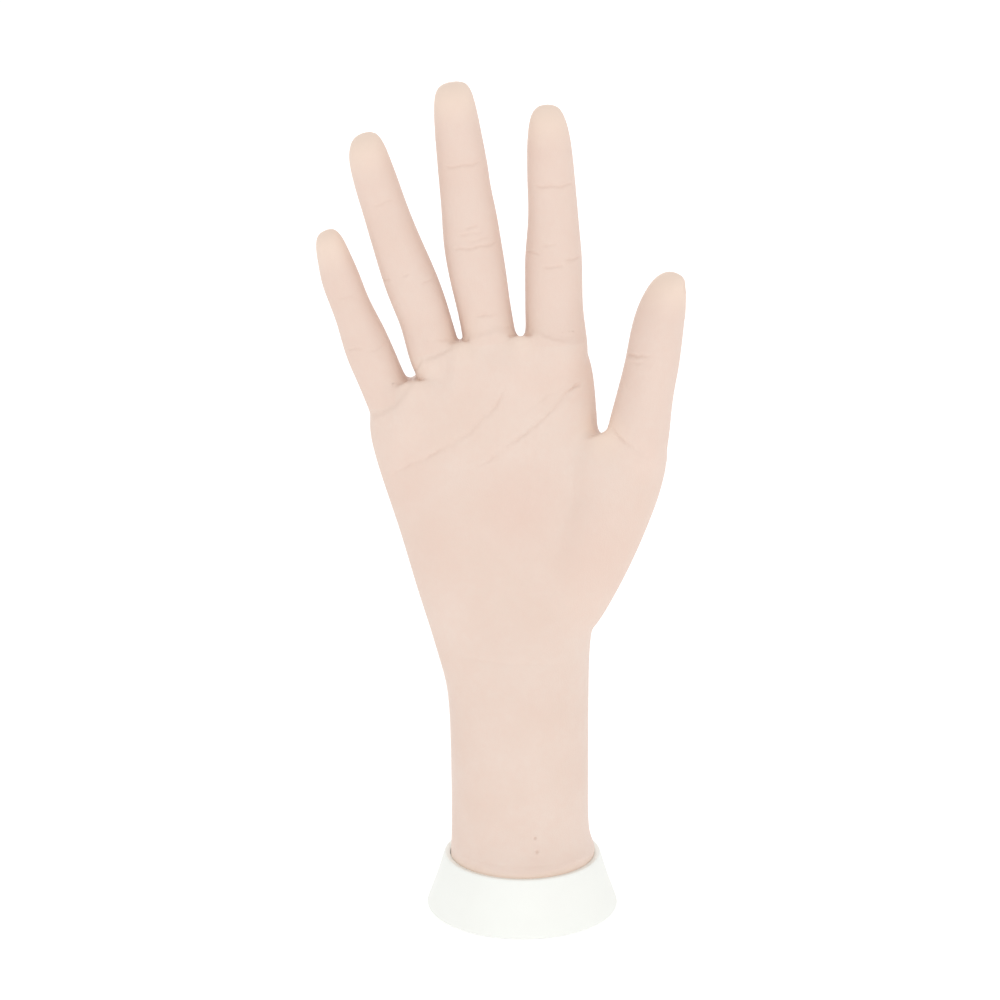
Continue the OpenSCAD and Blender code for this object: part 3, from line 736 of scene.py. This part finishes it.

# %% [markdown]
# ## Creases and wrinkles
# On the palm side each joint has one or two folds across the pad. On the back the skin is loose over the
# knuckle and lies in bowed wrinkles. Each is a groove with two soft lips beside it. The same numbers are
# kept as a colour mark of painted shade, darker down in a fold.

# %% Grooves
# Each fold: place along the finger, left end, right end and depth
JOINT_FOLDS = {
    "thumb": (),
    "index": ((20.7, -3.5, 1.6, 0.16), (17.8, -9.5, -3.4, 0.2), (15.8, 3.4, 9.5, 0.24),
              (14.2, -3.4, 3.8, 0.18), (37.8, -5.2, 7, 0.24)),
    "middle": ((26.2, -2.2, 2.8, 0.18), (24.3, -4.5, 4.2, 0.12), (22.2, -1.5, 5.5, 0.13),
               (20.1, -6.6, 7.4, 0.22), (44.4, -5.6, 6, 0.22)),
    "ring": ((15.4, -2, 1.2, 0.18), (14.9, -9, -4.6, 0.2), (11.2, 2.6, 7.8, 0.16), (37.6, -3.4, 4, 0.12)),
    "little": ((9.9, -6.6, -1, 0.14), (7.8, -0.4, 6.4, 0.14), (25.5, -3.4, 3, 0.1)),
}
FOLD_HALF_WIDTH, FOLD_ARCH, FOLD_TAPER, FOLD_WAVE = 0.38, 0.5, 1.6, 0.18
KNUCKLE_STEPS = (-3.9, -2.5, -1.3, -0.2, 1, 2.3, 3.8)
END_KNUCKLE_STEPS = (-1.9, -0.7, 0.5, 1.8)
KNUCKLE_DEPTH, END_KNUCKLE_SHARE, KNUCKLE_FADE = 0.2, 0.65, 0.1
KNUCKLE_HALF_WIDTH, KNUCKLE_BOW, KNUCKLE_WAVE, KNUCKLE_SPAN = 0.36, 0.1, 0.14, 0.8
SLIMNESS = 7
GROOVE_LIP, GROOVE_LIP_AWAY = 0.22, 2.4
FULL_MARK_DEPTH = 0.3
LINE_WANDER, LINE_TREMBLE, LINE_FADE = 0.22, 0.12, 0.25
SKIN_FACING, PAD_FACING = 0.5, 0.8

places, normals = places_of(skin), normals_of(skin)
flat = places[:, (0, 2)]
rise, painted_fold_shade = np.zeros(len(places)), np.zeros(len(places))
on_finger = nearest_finger(places)


def press(away, half_width, depth, weight):
    """Presses a groove with two soft lips into the skin, as strongly as weight says, and marks it with
    painted shade.
    """
    cut = bell(away, half_width)
    lips = GROOVE_LIP * bell(np.abs(away) - GROOVE_LIP_AWAY * half_width, half_width)
    rise[:] += weight * depth * (lips - cut)
    # Painted shade: the colour mark is darker down in the groove
    painted_fold_shade[:] = np.maximum(painted_fold_shade, weight * cut * min(1, depth / FULL_MARK_DEPTH))


# Lines in a palm are never drawn with a ruler: they wander, tremble and fade in and out
front = ease(-normals[:, 1] / SKIN_FACING) * (places[:, 1] < -2)
wander = LINE_WANDER * np.sin(0.9 * flat) + LINE_TREMBLE * np.sin(2.3 * flat[:, ::-1])
uneven = 0.55 + 0.45 * np.sin(0.45 * flat[:, 0] + 1.7 * np.sin(0.3 * flat[:, 1]))
for line, valley, core in palm_lines:
    away, share = line_distance(flat + wander, line)
    faded = front * between(share, 0, 1, LINE_FADE, LINE_FADE)
    rise -= faded * valley * bell(away, VALLEY_HALF_WIDTH)
    press(away, LINE_HALF_WIDTH, core, faded * uneven)
for speck in WRIST_SPECKS:
    press(np.linalg.norm(flat - speck, axis=1), SPECK_SIZE, SPECK_DEPTH, front)
for finger in FINGERS:
    across, _, along = in_finger(finger, places).T
    here = on_finger == FINGERS.index(finger)
    facing = normals @ fingers[finger]["axes"][1] / PAD_FACING
    pad_side, nail_side = here * ease(0.15 - facing), here * ease(facing)
    half = fingers[finger]["length"] / SLIMNESS
    for number, (stop, left, right, depth) in enumerate(JOINT_FOLDS[finger]):
        wave = FOLD_WAVE * np.sin(1.1 * across + 2 * number)
        part = pad_side * between(across, left, right, FOLD_TAPER, FOLD_TAPER)
        press(along - stop - FOLD_ARCH * (across / half) ** 2 - wave, FOLD_HALF_WIDTH, depth, part)
    for stop in fingers[finger]["stops"][1:]:
        last = stop == fingers[finger]["stops"][-1]
        for step in END_KNUCKLE_STEPS if last and finger != "thumb" else KNUCKLE_STEPS:
            bow = KNUCKLE_BOW * step * (across / half) ** 2 + KNUCKLE_WAVE * np.sin(1.4 * across + 3 * step)
            part = nail_side * np.exp(-(((across - math.sin(5 * step)) / (KNUCKLE_SPAN * half)) ** 4))
            depth = KNUCKLE_DEPTH * (END_KNUCKLE_SHARE if last else 1) * (1 - KNUCKLE_FADE * abs(step))
            press(along - stop - step - bow, KNUCKLE_HALF_WIDTH, depth, part)
move_to(skin, places + normals * rise[:, None])
print("deepest fold", round(-rise.min(), 2), "mm")

# %% [markdown]
# ## Nail beds
# On the back of each fingertip the skin dips under the nail, stands up beside it as two side folds, and
# lies over its root as the cuticle. The CAD nail says where: its width, its top and its two ends. The skin
# above its underside is lowered to it, inside an outline with a rounded root, and a soft lip is raised just
# outside.

# %% Read the nails from the frame
NAIL_THICKNESS, NAIL_CURVE, NAIL_TUCK = 0.8, 0.62, 3.2
NAIL_WIDTH, ROOT_NARROWING, END_NARROWING = 0.93, 0.1, 0.08


def read_nail(finger):
    slide = np.array(joints[f"{finger}_nail_slide"]["axis"], float)
    side = fingers[finger]["axes"][0]
    axes = np.array([side, np.cross(slide, side), slide])
    local = (places_of(frame["nodes"][f"{finger}_nail_tip"]) - fingers[finger]["root"]) @ axes.T
    low, high = local.min(axis=0), local.max(axis=0)
    left, right = edges_at(finger, (low[2] + high[2]) / 2)
    return {
        "axes": axes,
        "base": fingers[finger]["root"] + (left + right) / 2 * side,
        "half": (high[0] - low[0]) / 2,
        "top": high[1],
        "from": low[2],
        "to": high[2],
    }


nails = {finger: read_nail(finger) for finger in FINGERS}


def in_nail(finger, places):
    """Places in a nail's axes: across, up out of it, and along the way it slides."""
    return (places - nails[finger]["base"]) @ nails[finger]["axes"].T


def nail_top(finger, across):
    """Height of a nail's bowed top at a distance across it."""
    radius = 2 * NAIL_CURVE * nails[finger]["half"]
    return nails[finger]["top"] - radius + np.sqrt(np.maximum(radius**2 - across**2, 0.2 * radius**2))


def nail_half(finger, along):
    """Half the width of a nail at a place along it: narrower at the root and at the free end."""
    nail = nails[finger]
    length = np.clip((along - nail["from"]) / (nail["to"] - nail["from"]), 0, 1)
    return NAIL_WIDTH * nail["half"] * (1 - ROOT_NARROWING * (1 - length) ** 3 - END_NARROWING * length**4)


# %% Lower the skin under the nails
SIDE_COVER, BED_BLEND, BED_GAP, BED_BAND = 0.3, 0.45, 0.05, 3
FOLD_LIP, FOLD_LIP_AWAY, FOLD_LIP_WIDTH, FOLD_LIP_FADE = 0.24, 0.75, 0.5, 4
CUTICLE_BOW, CUTICLE_ROUND = 1, 3
NAIL_LINE_SHADE, NAIL_LINE_WIDTH = 0.8, 0.35


def round_min(first, second, size):
    """The smaller of two distances, with the corner between them rounded."""
    share = np.clip(0.5 + (second - first) / (2 * size), 0, 1)
    return second * (1 - share) + first * share - size * share * (1 - share)


places, normals = places_of(skin), normals_of(skin)
on_finger = nearest_finger(places)
for finger in FINGERS:
    nail = nails[finger]
    across, up, along = in_nail(finger, places).T
    cuticle = nail["from"] + NAIL_TUCK + CUTICLE_BOW * (across / nail["half"]) ** 2
    inside = round_min(nail_half(finger, along) - SIDE_COVER - np.abs(across), along - cuticle, CUTICLE_ROUND)
    bed = nail_top(finger, across) - NAIL_THICKNESS - BED_GAP
    here = (on_finger == FINGERS.index(finger)) & (normals @ nail["axes"][1] > 0) & (up > bed - BED_BAND)
    lowered = np.where(here & (up > bed), ease(inside / BED_BLEND + 0.6) * (bed - up), 0)
    lip = here * FOLD_LIP * bell(inside + FOLD_LIP_AWAY, FOLD_LIP_WIDTH)
    lip *= ease((nail["to"] - along) / FOLD_LIP_FADE + 0.3)
    places += (lowered + lip)[:, None] * nail["axes"][1]
    # Painted shade in a thin line round the nail fold
    painted_fold_shade = np.maximum(painted_fold_shade, here * NAIL_LINE_SHADE * bell(inside + 0.1, NAIL_LINE_WIDTH))
    print(finger, "nail bed lowered by up to", round(-lowered.min(), 2), "mm")
move_to(skin, places)

# %% [markdown]
# ## Marks that the skin's finish reads
# A pattern that is worked out from the place in space would slide over the skin when a finger bends. So
# every point keeps its resting place as an attribute, and three marks as a colour: painted shade, by how
# deep in a fold it is; how creamy the cast is there, as it is at the fingertips, with painted light at the
# webs and the wrist's end that brightens their shade; and how much of a blush it has.

# %% Store rest places and marks
# Each blush: middle, spread and strength
BLUSH = (
    ((-1, 132), (14, 14), 0.8),
    ((22, 122), (14, 20), 0.55),
    ((-26, 120), (10, 20), 0.35),
    ((2, 172), (30, 8), 0.3),
    ((-34, 140), (10, 15), 0.5),
    ((37, 152), (8, 12), 0.6),
)
FINGER_BLUSH, JOINT_BLUSH, JOINT_BLUSH_REACH = 0.45, 0.5, 5
CREAM_LENGTH, RIM_PAINTED_LIGHT, WEB_PAINTED_LIGHT_FROM = 15, 0.7, -5

flat = places[:, (0, 2)]
# Painted light at the wrist's end by the rim, brightening the shade where it meets the cup
cream_and_painted_light, blush = RIM_PAINTED_LIGHT * bell(places[:, 2] - RIM_Z, 1), np.zeros(len(places))
for middle, widths, strength in BLUSH:
    blush = np.maximum(blush, strength * hill(flat, middle, widths))
# Painted light on the front edges of the webs, brightening the shade under the fingers
for middle, lift, pale in WEB_LIPS:
    at_lip = hill(flat, np.add(middle, (0, lift)), WEB_LIP_SPREAD) * (places[:, 1] < WEB_PAINTED_LIGHT_FROM)
    cream_and_painted_light = np.maximum(cream_and_painted_light, pale * at_lip)
for number, finger in enumerate(FINGERS):
    along = in_finger(finger, places)[:, 2]
    here = on_finger == number
    cream_and_painted_light = np.maximum(cream_and_painted_light, here * ease((along - fingers[finger]["length"] + CREAM_LENGTH) / CREAM_LENGTH))
    blush = np.maximum(blush, here * FINGER_BLUSH)
    for stop in fingers[finger]["stops"]:
        blush = np.maximum(blush, here * JOINT_BLUSH * bell(along - stop, JOINT_BLUSH_REACH))
rest = skin.data.attributes.new("rest_place", "FLOAT_VECTOR", "POINT")
rest.data.foreach_set("vector", places.ravel())
marks = skin.data.attributes.new("skin_marks", "FLOAT_COLOR", "POINT")
marks.data.foreach_set("color", np.stack([painted_fold_shade, cream_and_painted_light, blush, np.ones(len(places))], axis=1).ravel())
print("marks stored for", len(places), "points")

# %% [markdown]
# ## Split the skin where it bends
# A soft cast bends without a seam. Each joint gets its own piece of skin, cut square across the middle of
# the bones on both sides of it, where nothing bends. The cuts are made with bisect and the pieces parted
# with separate, and no gap shows, because both sides of a cut keep the same points and the same normals.

# %% Plan the cuts
BEND_REACH = {
    "thumb": (4.5, 4.5),
    "index": (5, 6.5, 4),
    "middle": (5, 6.5, 4),
    "ring": (5, 6, 4),
    "little": (4, 4.8, 3.2),
}
LITTLE_CUT_LEAN = math.radians(14)
CUT_ROOM, CUT_BAND = 0.2, 3


def bend_way(finger, joint):
    """The way that a joint's bend is spread: along the finger, or leaning at the little finger's low root."""
    side, _, along = fingers[finger]["axes"]
    if finger == "little" and joint == 0:
        return along * math.cos(LITTLE_CUT_LEAN) - side * math.sin(LITTLE_CUT_LEAN)
    return along


def cut_plane(finger, joint):
    """A place and a direction for the cut below a joint."""
    stops, reach = fingers[finger]["stops"], BEND_REACH[finger]
    if joint == 0:
        way = bend_way(finger, 0)
        return fingers[finger]["root"] - (reach[0] + CUT_ROOM) * way, way
    halfway = (stops[joint - 1] + reach[joint - 1] + stops[joint] - reach[joint]) / 2
    return from_finger(finger, np.array([0, 0, halfway])), fingers[finger]["axes"][2]


# %% Bisect and separate
SEGMENTS = {2: ("base", "tip"), 3: ("base", "mid", "tip")}


def past_cut(obj, number, joint):
    """How far each face is past the cut below a joint, and whether it is on that finger."""
    place, way = cut_plane(FINGERS[number], joint)
    middles = face_middles(obj)
    return (middles - place) @ way, nearest_finger(middles) == number


def bisect(obj, number, joint):
    """Cuts a line round one finger, below a joint, through the faces near it."""
    past, on_it = past_cut(obj, number, joint)
    select_faces(obj, on_it & (np.abs(past) < CUT_BAND))
    place, way = cut_plane(FINGERS[number], joint)
    bpy.ops.mesh.bisect(plane_co=place * MM, plane_no=way)
    bpy.ops.object.mode_set(mode="OBJECT")


def part_off(obj, number, joint):
    """Separates what lies past a cut and names it for its segment."""
    past, on_it = past_cut(obj, number, joint)
    select_faces(obj, on_it & (past > 0))
    bpy.ops.mesh.separate(type="SELECTED")
    bpy.ops.object.mode_set(mode="OBJECT")
    piece = next(o for o in bpy.context.selected_objects if o != obj)
    segments = SEGMENTS[len(fingers[FINGERS[number]]["stops"])]
    piece.name = f"{FINGERS[number]}_{segments[joint]}_cast"
    return piece


for number in range(len(FINGERS)):
    bisect(skin, number, 0)
whole = skin.data.attributes.new("whole_normal", "FLOAT_VECTOR", "POINT")
whole.data.foreach_set("vector", normals_of(skin).ravel())
skin_pieces = {}
for number, finger in enumerate(FINGERS):
    skin_pieces[finger, 0] = part_off(skin, number, 0)
    for joint in range(1, len(fingers[finger]["stops"])):
        bisect(skin_pieces[finger, joint - 1], number, joint)
        skin_pieces[finger, joint] = part_off(skin_pieces[finger, joint - 1], number, joint)
skin.name = "palm_cast"
print({o.name: len(o.data.polygons) for o in [skin, *skin_pieces.values()]})

# %% Thin out the faces of the smooth wrist
THIN_BELOW, THIN_FADE = 130, 12
THIN_SHARE = 0.72
add_group(skin, "wrist", ease((THIN_BELOW - places_of(skin)[:, 2]) / THIN_FADE))
apply_modifier(skin, "DECIMATE", ratio=THIN_SHARE, vertex_group="wrist")
skin.vertex_groups.clear()
print("faces of the palm after thinning:", len(skin.data.polygons))


# %% Close the cut ends and keep the normals
def close_ends(piece):
    """Fills the cut ends, keeps their rims sharp, and gives the rims the normals of the whole skin."""
    only(piece)
    bpy.ops.object.shade_smooth()
    sides = len(piece.data.polygons)
    bpy.ops.object.mode_set(mode="EDIT")
    bpy.ops.mesh.select_all(action="SELECT")
    bpy.ops.mesh.fill_holes(sides=0)
    bpy.ops.object.mode_set(mode="OBJECT")
    mesh = piece.data
    totals = np.empty(len(mesh.polygons), int)
    mesh.polygons.foreach_get("loop_total", totals)
    corners = np.empty(len(mesh.loops), int)
    mesh.loops.foreach_get("vertex_index", corners)
    on_side = np.repeat(np.arange(len(mesh.polygons)) < sides, totals)
    rim = np.zeros(len(mesh.vertices), bool)
    rim[corners[~on_side]] = True
    ends = np.empty(len(mesh.edges) * 2, int)
    mesh.edges.foreach_get("vertices", ends)
    mesh.edges.foreach_set("use_edge_sharp", rim[ends].reshape(-1, 2).all(axis=1))
    kept = np.empty(len(mesh.vertices) * 3)
    mesh.attributes["whole_normal"].data.foreach_get("vector", kept)
    wanted = np.where((rim[corners] & on_side)[:, None], kept.reshape(-1, 3)[corners], 0)
    mesh.normals_split_custom_set(wanted.tolist())
    mesh.attributes.remove(mesh.attributes["whole_normal"])
    return len(mesh.polygons) - sides


for piece in [skin, *skin_pieces.values()]:
    print(piece.name, "ends closed:", close_ends(piece))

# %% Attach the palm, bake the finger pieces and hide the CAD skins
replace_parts(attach(skin, "hand"), "palm_skin")
for (finger, joint), piece in skin_pieces.items():
    segments = SEGMENTS[len(fingers[finger]["stops"])]
    reach = BEND_REACH[finger][joint] * bend_way(finger, joint)
    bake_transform(piece)
    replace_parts(piece, f"{finger}_{segments[joint]}_skin")
print("bending pieces:", len(skin_pieces))

# %% [markdown]
# ## Nail tips
# A nail tip is a thin bowed plate with a round free end. A grid gives it even rows to shape: across it
# follows the bow that the nail bed was made to, and along it the two ends are rounded. Solidify gives the
# thickness downwards, a small bevel takes the edge off, and one subdivision rounds what is left.

# %% Shape a grid into each nail
NAIL_COLUMNS, NAIL_ROWS = 14, 22
FREE_END_ROUND, ROOT_ROUND = 0.42, 0.16
NAIL_SAG, NAIL_BEVEL = 0.15, 0.22


def make_nail(finger):
    nail = nails[finger]
    bpy.ops.object.select_all(action="DESELECT")
    bpy.ops.mesh.primitive_grid_add(x_subdivisions=NAIL_COLUMNS, y_subdivisions=NAIL_ROWS, size=2 * MM)
    plate = bpy.context.object
    plate.name = f"{finger}_nail"
    across, length, _ = places_of(plate).T
    up_to_end = (length + 1) / 2
    along = nail["from"] + up_to_end * (nail["to"] - nail["from"])
    wide = across * nail_half(finger, along)
    rounded = nail["half"] * across**2 * (ROOT_ROUND * (1 - up_to_end) ** 5 - FREE_END_ROUND * up_to_end**5)
    up = nail_top(finger, wide) - NAIL_SAG * (2 * up_to_end - 1) ** 2
    move_to(plate, np.stack([wide, up, along + rounded], axis=1) @ nail["axes"] + nail["base"])
    only(plate)
    bpy.ops.object.mode_set(mode="EDIT")
    bpy.ops.mesh.select_all(action="SELECT")
    bpy.ops.mesh.normals_make_consistent(inside=False)
    bpy.ops.object.mode_set(mode="OBJECT")
    if np.mean(normals_of(plate) @ nail["axes"][1]) < 0:
        plate.data.flip_normals()
    apply_modifier(plate, "SOLIDIFY", thickness=NAIL_THICKNESS * MM, offset=-1)
    apply_modifier(plate, "BEVEL", width=NAIL_BEVEL * MM, segments=2, limit_method="ANGLE")
    subdivide_smooth(plate, 1)
    only(plate)
    bpy.ops.object.shade_smooth()
    marks = plate.data.attributes.new("nail_place", "FLOAT_VECTOR", "POINT")
    local = in_nail(finger, places_of(plate))
    share = (local - (0, nail["top"], nail["from"])) / (nail["half"], 1, nail["to"] - nail["from"])
    marks.data.foreach_set("vector", share.ravel())
    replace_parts(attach(plate, f"{finger}_nail"), f"{finger}_nail_tip")
    return plate


nail_pieces = [make_nail(finger) for finger in FINGERS]
print("nails:", {o.name: len(o.data.polygons) for o in nail_pieces})

# %% [markdown]
# ## The stand
# The stand is a moulded white ring that leans in towards the wrist, with a thin rounded rim, a shelf inside
# and a six-sided post. Its round part is one outline spun about the upright axis. Drawing the outline point
# by point and spinning it is quicker and truer than scaling a cylinder, because the wall, rim and shelf
# come in one closed piece.

# %% Spin the shell
FOOT_INSET = 0.004
FOOT_R = shell_r.max() - FOOT_INSET
FOOT_Z = shell[:, 2].min()
SHELF_Z, SHELF_UNDER = 6.5, 4.5
FOOT_INNER_R = FOOT_R - 2
STAND_OUTLINE = (
    (0, SHELF_UNDER),
    (FOOT_INNER_R - 2.2, SHELF_UNDER),
    (FOOT_INNER_R - 1.3, SHELF_UNDER - 0.5),
    (FOOT_INNER_R, FOOT_Z + 0.25),
    (FOOT_INNER_R + 0.3, FOOT_Z),
    (FOOT_R - 0.5, FOOT_Z),
    (FOOT_R - 0.12, FOOT_Z + 0.12),
    (FOOT_R, FOOT_Z + 0.5),
    (FOOT_R - 0.35, FOOT_Z + 1.6),
    ((FOOT_R + RIM_R) / 2 - 0.1, (FOOT_Z + RIM_Z) / 2),
    (RIM_R + 0.2, RIM_Z - 0.6),
    (RIM_R, RIM_Z - 0.22),
    (RIM_R - 0.25, RIM_Z),
    (WRIST_R + 0.2, RIM_Z - 0.03),
    (WRIST_R + 0.04, RIM_Z - 0.14),
    (WRIST_R + 0.04, SHELF_Z + 1),
    (WRIST_R - 0.2, SHELF_Z + 0.25),
    (WRIST_R - 1, SHELF_Z),
    (0, SHELF_Z),
)
SPIN_STEPS = 128


def spin_outline(name, outline, steps):
    """Draws an outline of (radius, height) by extruding one point, and spins it about the upright axis."""
    bpy.ops.object.select_all(action="DESELECT")
    bpy.ops.mesh.primitive_plane_add(size=MM)
    turned = bpy.context.object
    turned.name = name
    bpy.ops.object.mode_set(mode="EDIT")
    bpy.context.tool_settings.mesh_select_mode = (True, False, False)
    bpy.ops.mesh.select_all(action="SELECT")
    bpy.ops.mesh.merge(type="CENTER")
    here = Vector((0, 0, 0))
    for step, (radius, height) in enumerate(outline):
        there = Vector((radius, 0, height)) * MM
        if step:
            bpy.ops.mesh.extrude_region_move(TRANSFORM_OT_translate={"value": there - here})
        else:
            bpy.ops.transform.translate(value=there)
        here = there
    bpy.ops.mesh.select_all(action="SELECT")
    bpy.ops.mesh.spin(steps=steps, angle=2 * math.pi, center=(0, 0, 0), axis=(0, 0, 1))
    bpy.ops.mesh.select_all(action="SELECT")
    bpy.ops.mesh.remove_doubles(threshold=0.01 * MM)
    bpy.ops.mesh.normals_make_consistent(inside=False)
    bpy.ops.object.mode_set(mode="OBJECT")
    return turned


stand = spin_outline("stand", STAND_OUTLINE, SPIN_STEPS)
print("stand: foot", round(FOOT_R, 1), "rim", round(RIM_R, 1), "height", round(RIM_Z, 1), "mm")

# %% Add the six-sided post
POST_R, POST_BEVEL, POST_SINK = 5.5, 0.4, 1
POST_TOP, POST_FOOT = shell[:, 2].max(), SHELF_Z - POST_SINK
SHARP_ANGLE = math.radians(35)
bpy.ops.object.select_all(action="DESELECT")
bpy.ops.mesh.primitive_cylinder_add(
    vertices=6, radius=POST_R * MM, depth=(POST_TOP - POST_FOOT) * MM,
    location=(0, 0, (POST_TOP + POST_FOOT) / 2 * MM), rotation=(0, 0, math.pi / 6))
post = bpy.context.object
bpy.ops.object.transform_apply(location=True, rotation=True, scale=True)
apply_modifier(post, "BEVEL", width=POST_BEVEL * MM, segments=3, limit_method="ANGLE")
apply_modifier(stand, "BOOLEAN", operation="UNION", object=post, solver="EXACT")
bpy.data.objects.remove(post)
only(stand)
bpy.ops.object.shade_smooth_by_angle(angle=SHARP_ANGLE)
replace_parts(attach(stand, "stand"), "stand_shell")
print("stand faces:", len(stand.data.polygons))

# %% [markdown]
# ## Skin finish
# The cast is a matt, slightly waxy vinyl, pale pink with a warmer blush, creamier towards the fingertips. A
# flat pink would look like plasticine. Two scales of cloudy noise vary the colour, the marks add blush,
# cream with painted light at the webs and the wrist's end, and painted shade in the folds, and a fine bump
# of tiny cells gives the skin its grain. Everything is read at the rest place.

# %% Skin
SKIN_PALE = (0.779, 0.642, 0.561)
SKIN_WARM = (0.758, 0.603, 0.517)
SKIN_BLUSH = (0.768, 0.565, 0.48)
SKIN_CREAM_AND_PAINTED_LIGHT = (0.878, 0.71, 0.593)
SKIN_FOLD_SHADE = (0.616, 0.422, 0.343)
CLOUD_RANGE, UNEVEN_RANGE = (0.35, 0.65), (0.3, 0.7)
MOTTLE_MOST, BLUSH_MOST, CREAM_AND_PAINTED_LIGHT_MOST, FOLD_SHADE_MOST = 0.28, 0.6, 0.85, 0.25
SKIN_GRAIN, SKIN_GRAIN_DEPTH = 0.12, 0.0002

skin_finish, tree, shader = new_finish("cast_skin")
where = attribute(tree, "rest_place")["Vector"]
painted = attribute(tree, "skin_marks")["Color"]
fold_shade, creamy_and_painted_light, rosy = add(tree, "ShaderNodeSeparateColor", Color=painted).outputs
clouds = spread(tree, noise(tree, where, 0.05, 4), *CLOUD_RANGE, 0.0, 1.0)
mottle = spread(tree, noise(tree, where, 0.45, 3, 0.6), *UNEVEN_RANGE, 0.0, MOTTLE_MOST)
colour = tint(tree, clouds, SKIN_PALE, SKIN_WARM)
colour = tint(tree, mottle, colour, SKIN_BLUSH)
# The fold mark adds painted shade; the cream mark adds cream at the fingertips and painted light at the webs
# and the rim
for mark, most, shade in (
    (rosy, BLUSH_MOST, SKIN_BLUSH), (creamy_and_painted_light, CREAM_AND_PAINTED_LIGHT_MOST, SKIN_CREAM_AND_PAINTED_LIGHT), (fold_shade, FOLD_SHADE_MOST, SKIN_FOLD_SHADE)
):
    colour = tint(tree, spread(tree, mark, 0, 1, 0.0, most), colour, shade)
cells = add(tree, "ShaderNodeTexVoronoi", Vector=where, Scale=2.2).outputs["Distance"]
grain = add(tree, "ShaderNodeMath", i0=cells, i1=noise(tree, where, 5.5, 2)).outputs[0]
feed(
    tree, shader,
    Base_Color=colour,
    Normal=bump(tree, grain, SKIN_GRAIN, SKIN_GRAIN_DEPTH),
    Roughness=spread(tree, noise(tree, where, 1.2, 3), *UNEVEN_RANGE, 0.44, 0.6),
    Specular_IOR_Level=0.32,
    Sheen_Weight=0.12,
    Sheen_Roughness=0.6,
    Sheen_Tint=(1, 0.88, 0.82, 1),
)
for piece in [skin, *skin_pieces.values()]:
    piece.data.materials.clear()
    piece.data.materials.append(skin_finish)
print("skin finish on", 1 + len(skin_pieces), "pieces")

# %% [markdown]
# ## Nail, plastic, steel and rubber finishes
# The nail tips are glossy and milky, with a paler free edge and fine ridges along them. The stand is satin
# white plastic with a soft moulded texture. The parts inside show only when the hand is lifted or taken
# apart, and each still has its own finish: grey moulded bones, steel pins and a soft pad.

# %% Nails
NAIL_PINK, NAIL_MILKY, NAIL_EDGE = (0.86, 0.66, 0.58), (0.9, 0.72, 0.64), (0.93, 0.88, 0.80)
FREE_EDGE = (0.78, 0.86)
RIDGE_GRAIN, RIDGE_DEPTH = 0.05, 0.0002

nail_finish, tree, shader = new_finish("nail_gloss")
where = attribute(tree, "nail_place")["Vector"]
across, _, along = add(tree, "ShaderNodeSeparateXYZ", Vector=where).outputs
sideways = add(tree, "ShaderNodeCombineXYZ", X=across).outputs[0]
ridges = add(tree, "ShaderNodeTexWave", Vector=sideways, Scale=3.2, Distortion=0.6).outputs["Fac"]
colour = tint(tree, noise(tree, where, 4, 3), NAIL_PINK, NAIL_MILKY)
feed(
    tree, shader,
    Base_Color=tint(tree, spread(tree, along, *FREE_EDGE, 0.0, 1.0), colour, NAIL_EDGE),
    Normal=bump(tree, ridges, RIDGE_GRAIN, RIDGE_DEPTH),
    Roughness=spread(tree, noise(tree, where, 9, 2), *UNEVEN_RANGE, 0.16, 0.26),
    Coat_Weight=0.5,
    Coat_Roughness=0.08,
)
for piece in nail_pieces:
    piece.data.materials.append(nail_finish)
print("nail finish on", len(nail_pieces), "pieces")

# %% Plastic, steel and rubber
MOULDED_GRAIN = 0.2
FLOOR_GLOW = 0.27


def moulded(name, pale, dark, rough, cloud_scale, grain_scale, grain_depth, metal=0.0):
    """A finish with cloudy colour, uneven gloss and a fine grain, in object space."""
    finish, tree, shader = new_finish(name)
    where = tree.nodes.new("ShaderNodeTexCoord").outputs["Object"]
    clouds = spread(tree, noise(tree, where, cloud_scale, 4), *CLOUD_RANGE, 0.0, 1.0)
    feed(
        tree, shader,
        Base_Color=tint(tree, clouds, pale, dark),
        Roughness=spread(tree, noise(tree, where, 3 * cloud_scale, 3), *UNEVEN_RANGE, *rough),
        Normal=bump(tree, noise(tree, where, grain_scale, 2), MOULDED_GRAIN, grain_depth),
        Metallic=metal,
    )
    return finish


stand_finish = moulded(
    "stand_white", (0.91, 0.925, 0.885), (0.895, 0.905, 0.865), (0.4, 0.52), 40, 2500, 0.00006)
bone_finish = moulded(
    "frame_grey", (0.72, 0.71, 0.68), (0.64, 0.63, 0.6), (0.45, 0.6), 90, 3000, 0.00008)
pin_finish = moulded(
    "pin_steel", (0.62, 0.63, 0.65), (0.52, 0.53, 0.55), (0.25, 0.38), 300, 6000, 0.00002, metal=1.0)
pad_finish = moulded(
    "pad_rubber", (0.74, 0.73, 0.7), (0.66, 0.65, 0.62), (0.7, 0.85), 120, 4000, 0.0001)
floor_finish = moulded(
    "floor_white", (0.93, 0.93, 0.93), (0.92, 0.92, 0.92), (0.7, 0.8), 3, 400, 0.00005)
floor_tree = floor_finish.node_tree
feed(floor_tree, floor_tree.nodes["Principled BSDF"], Emission_Color=WHITE, Emission_Strength=FLOOR_GLOW)
stand.data.materials.append(stand_finish)
floor.data.materials.append(floor_finish)
for name, node in frame["nodes"].items():
    if node.hide_render:
        continue
    finish = bone_finish
    if "pin" in name:
        finish = pin_finish
    elif name == "foot_pad":
        finish = pad_finish
    elif name == "stand_floor":
        finish = stand_finish
    node.data.materials.clear()
    node.data.materials.append(finish)
print("finishes:", sorted(m.name for m in bpy.data.materials if m.users))
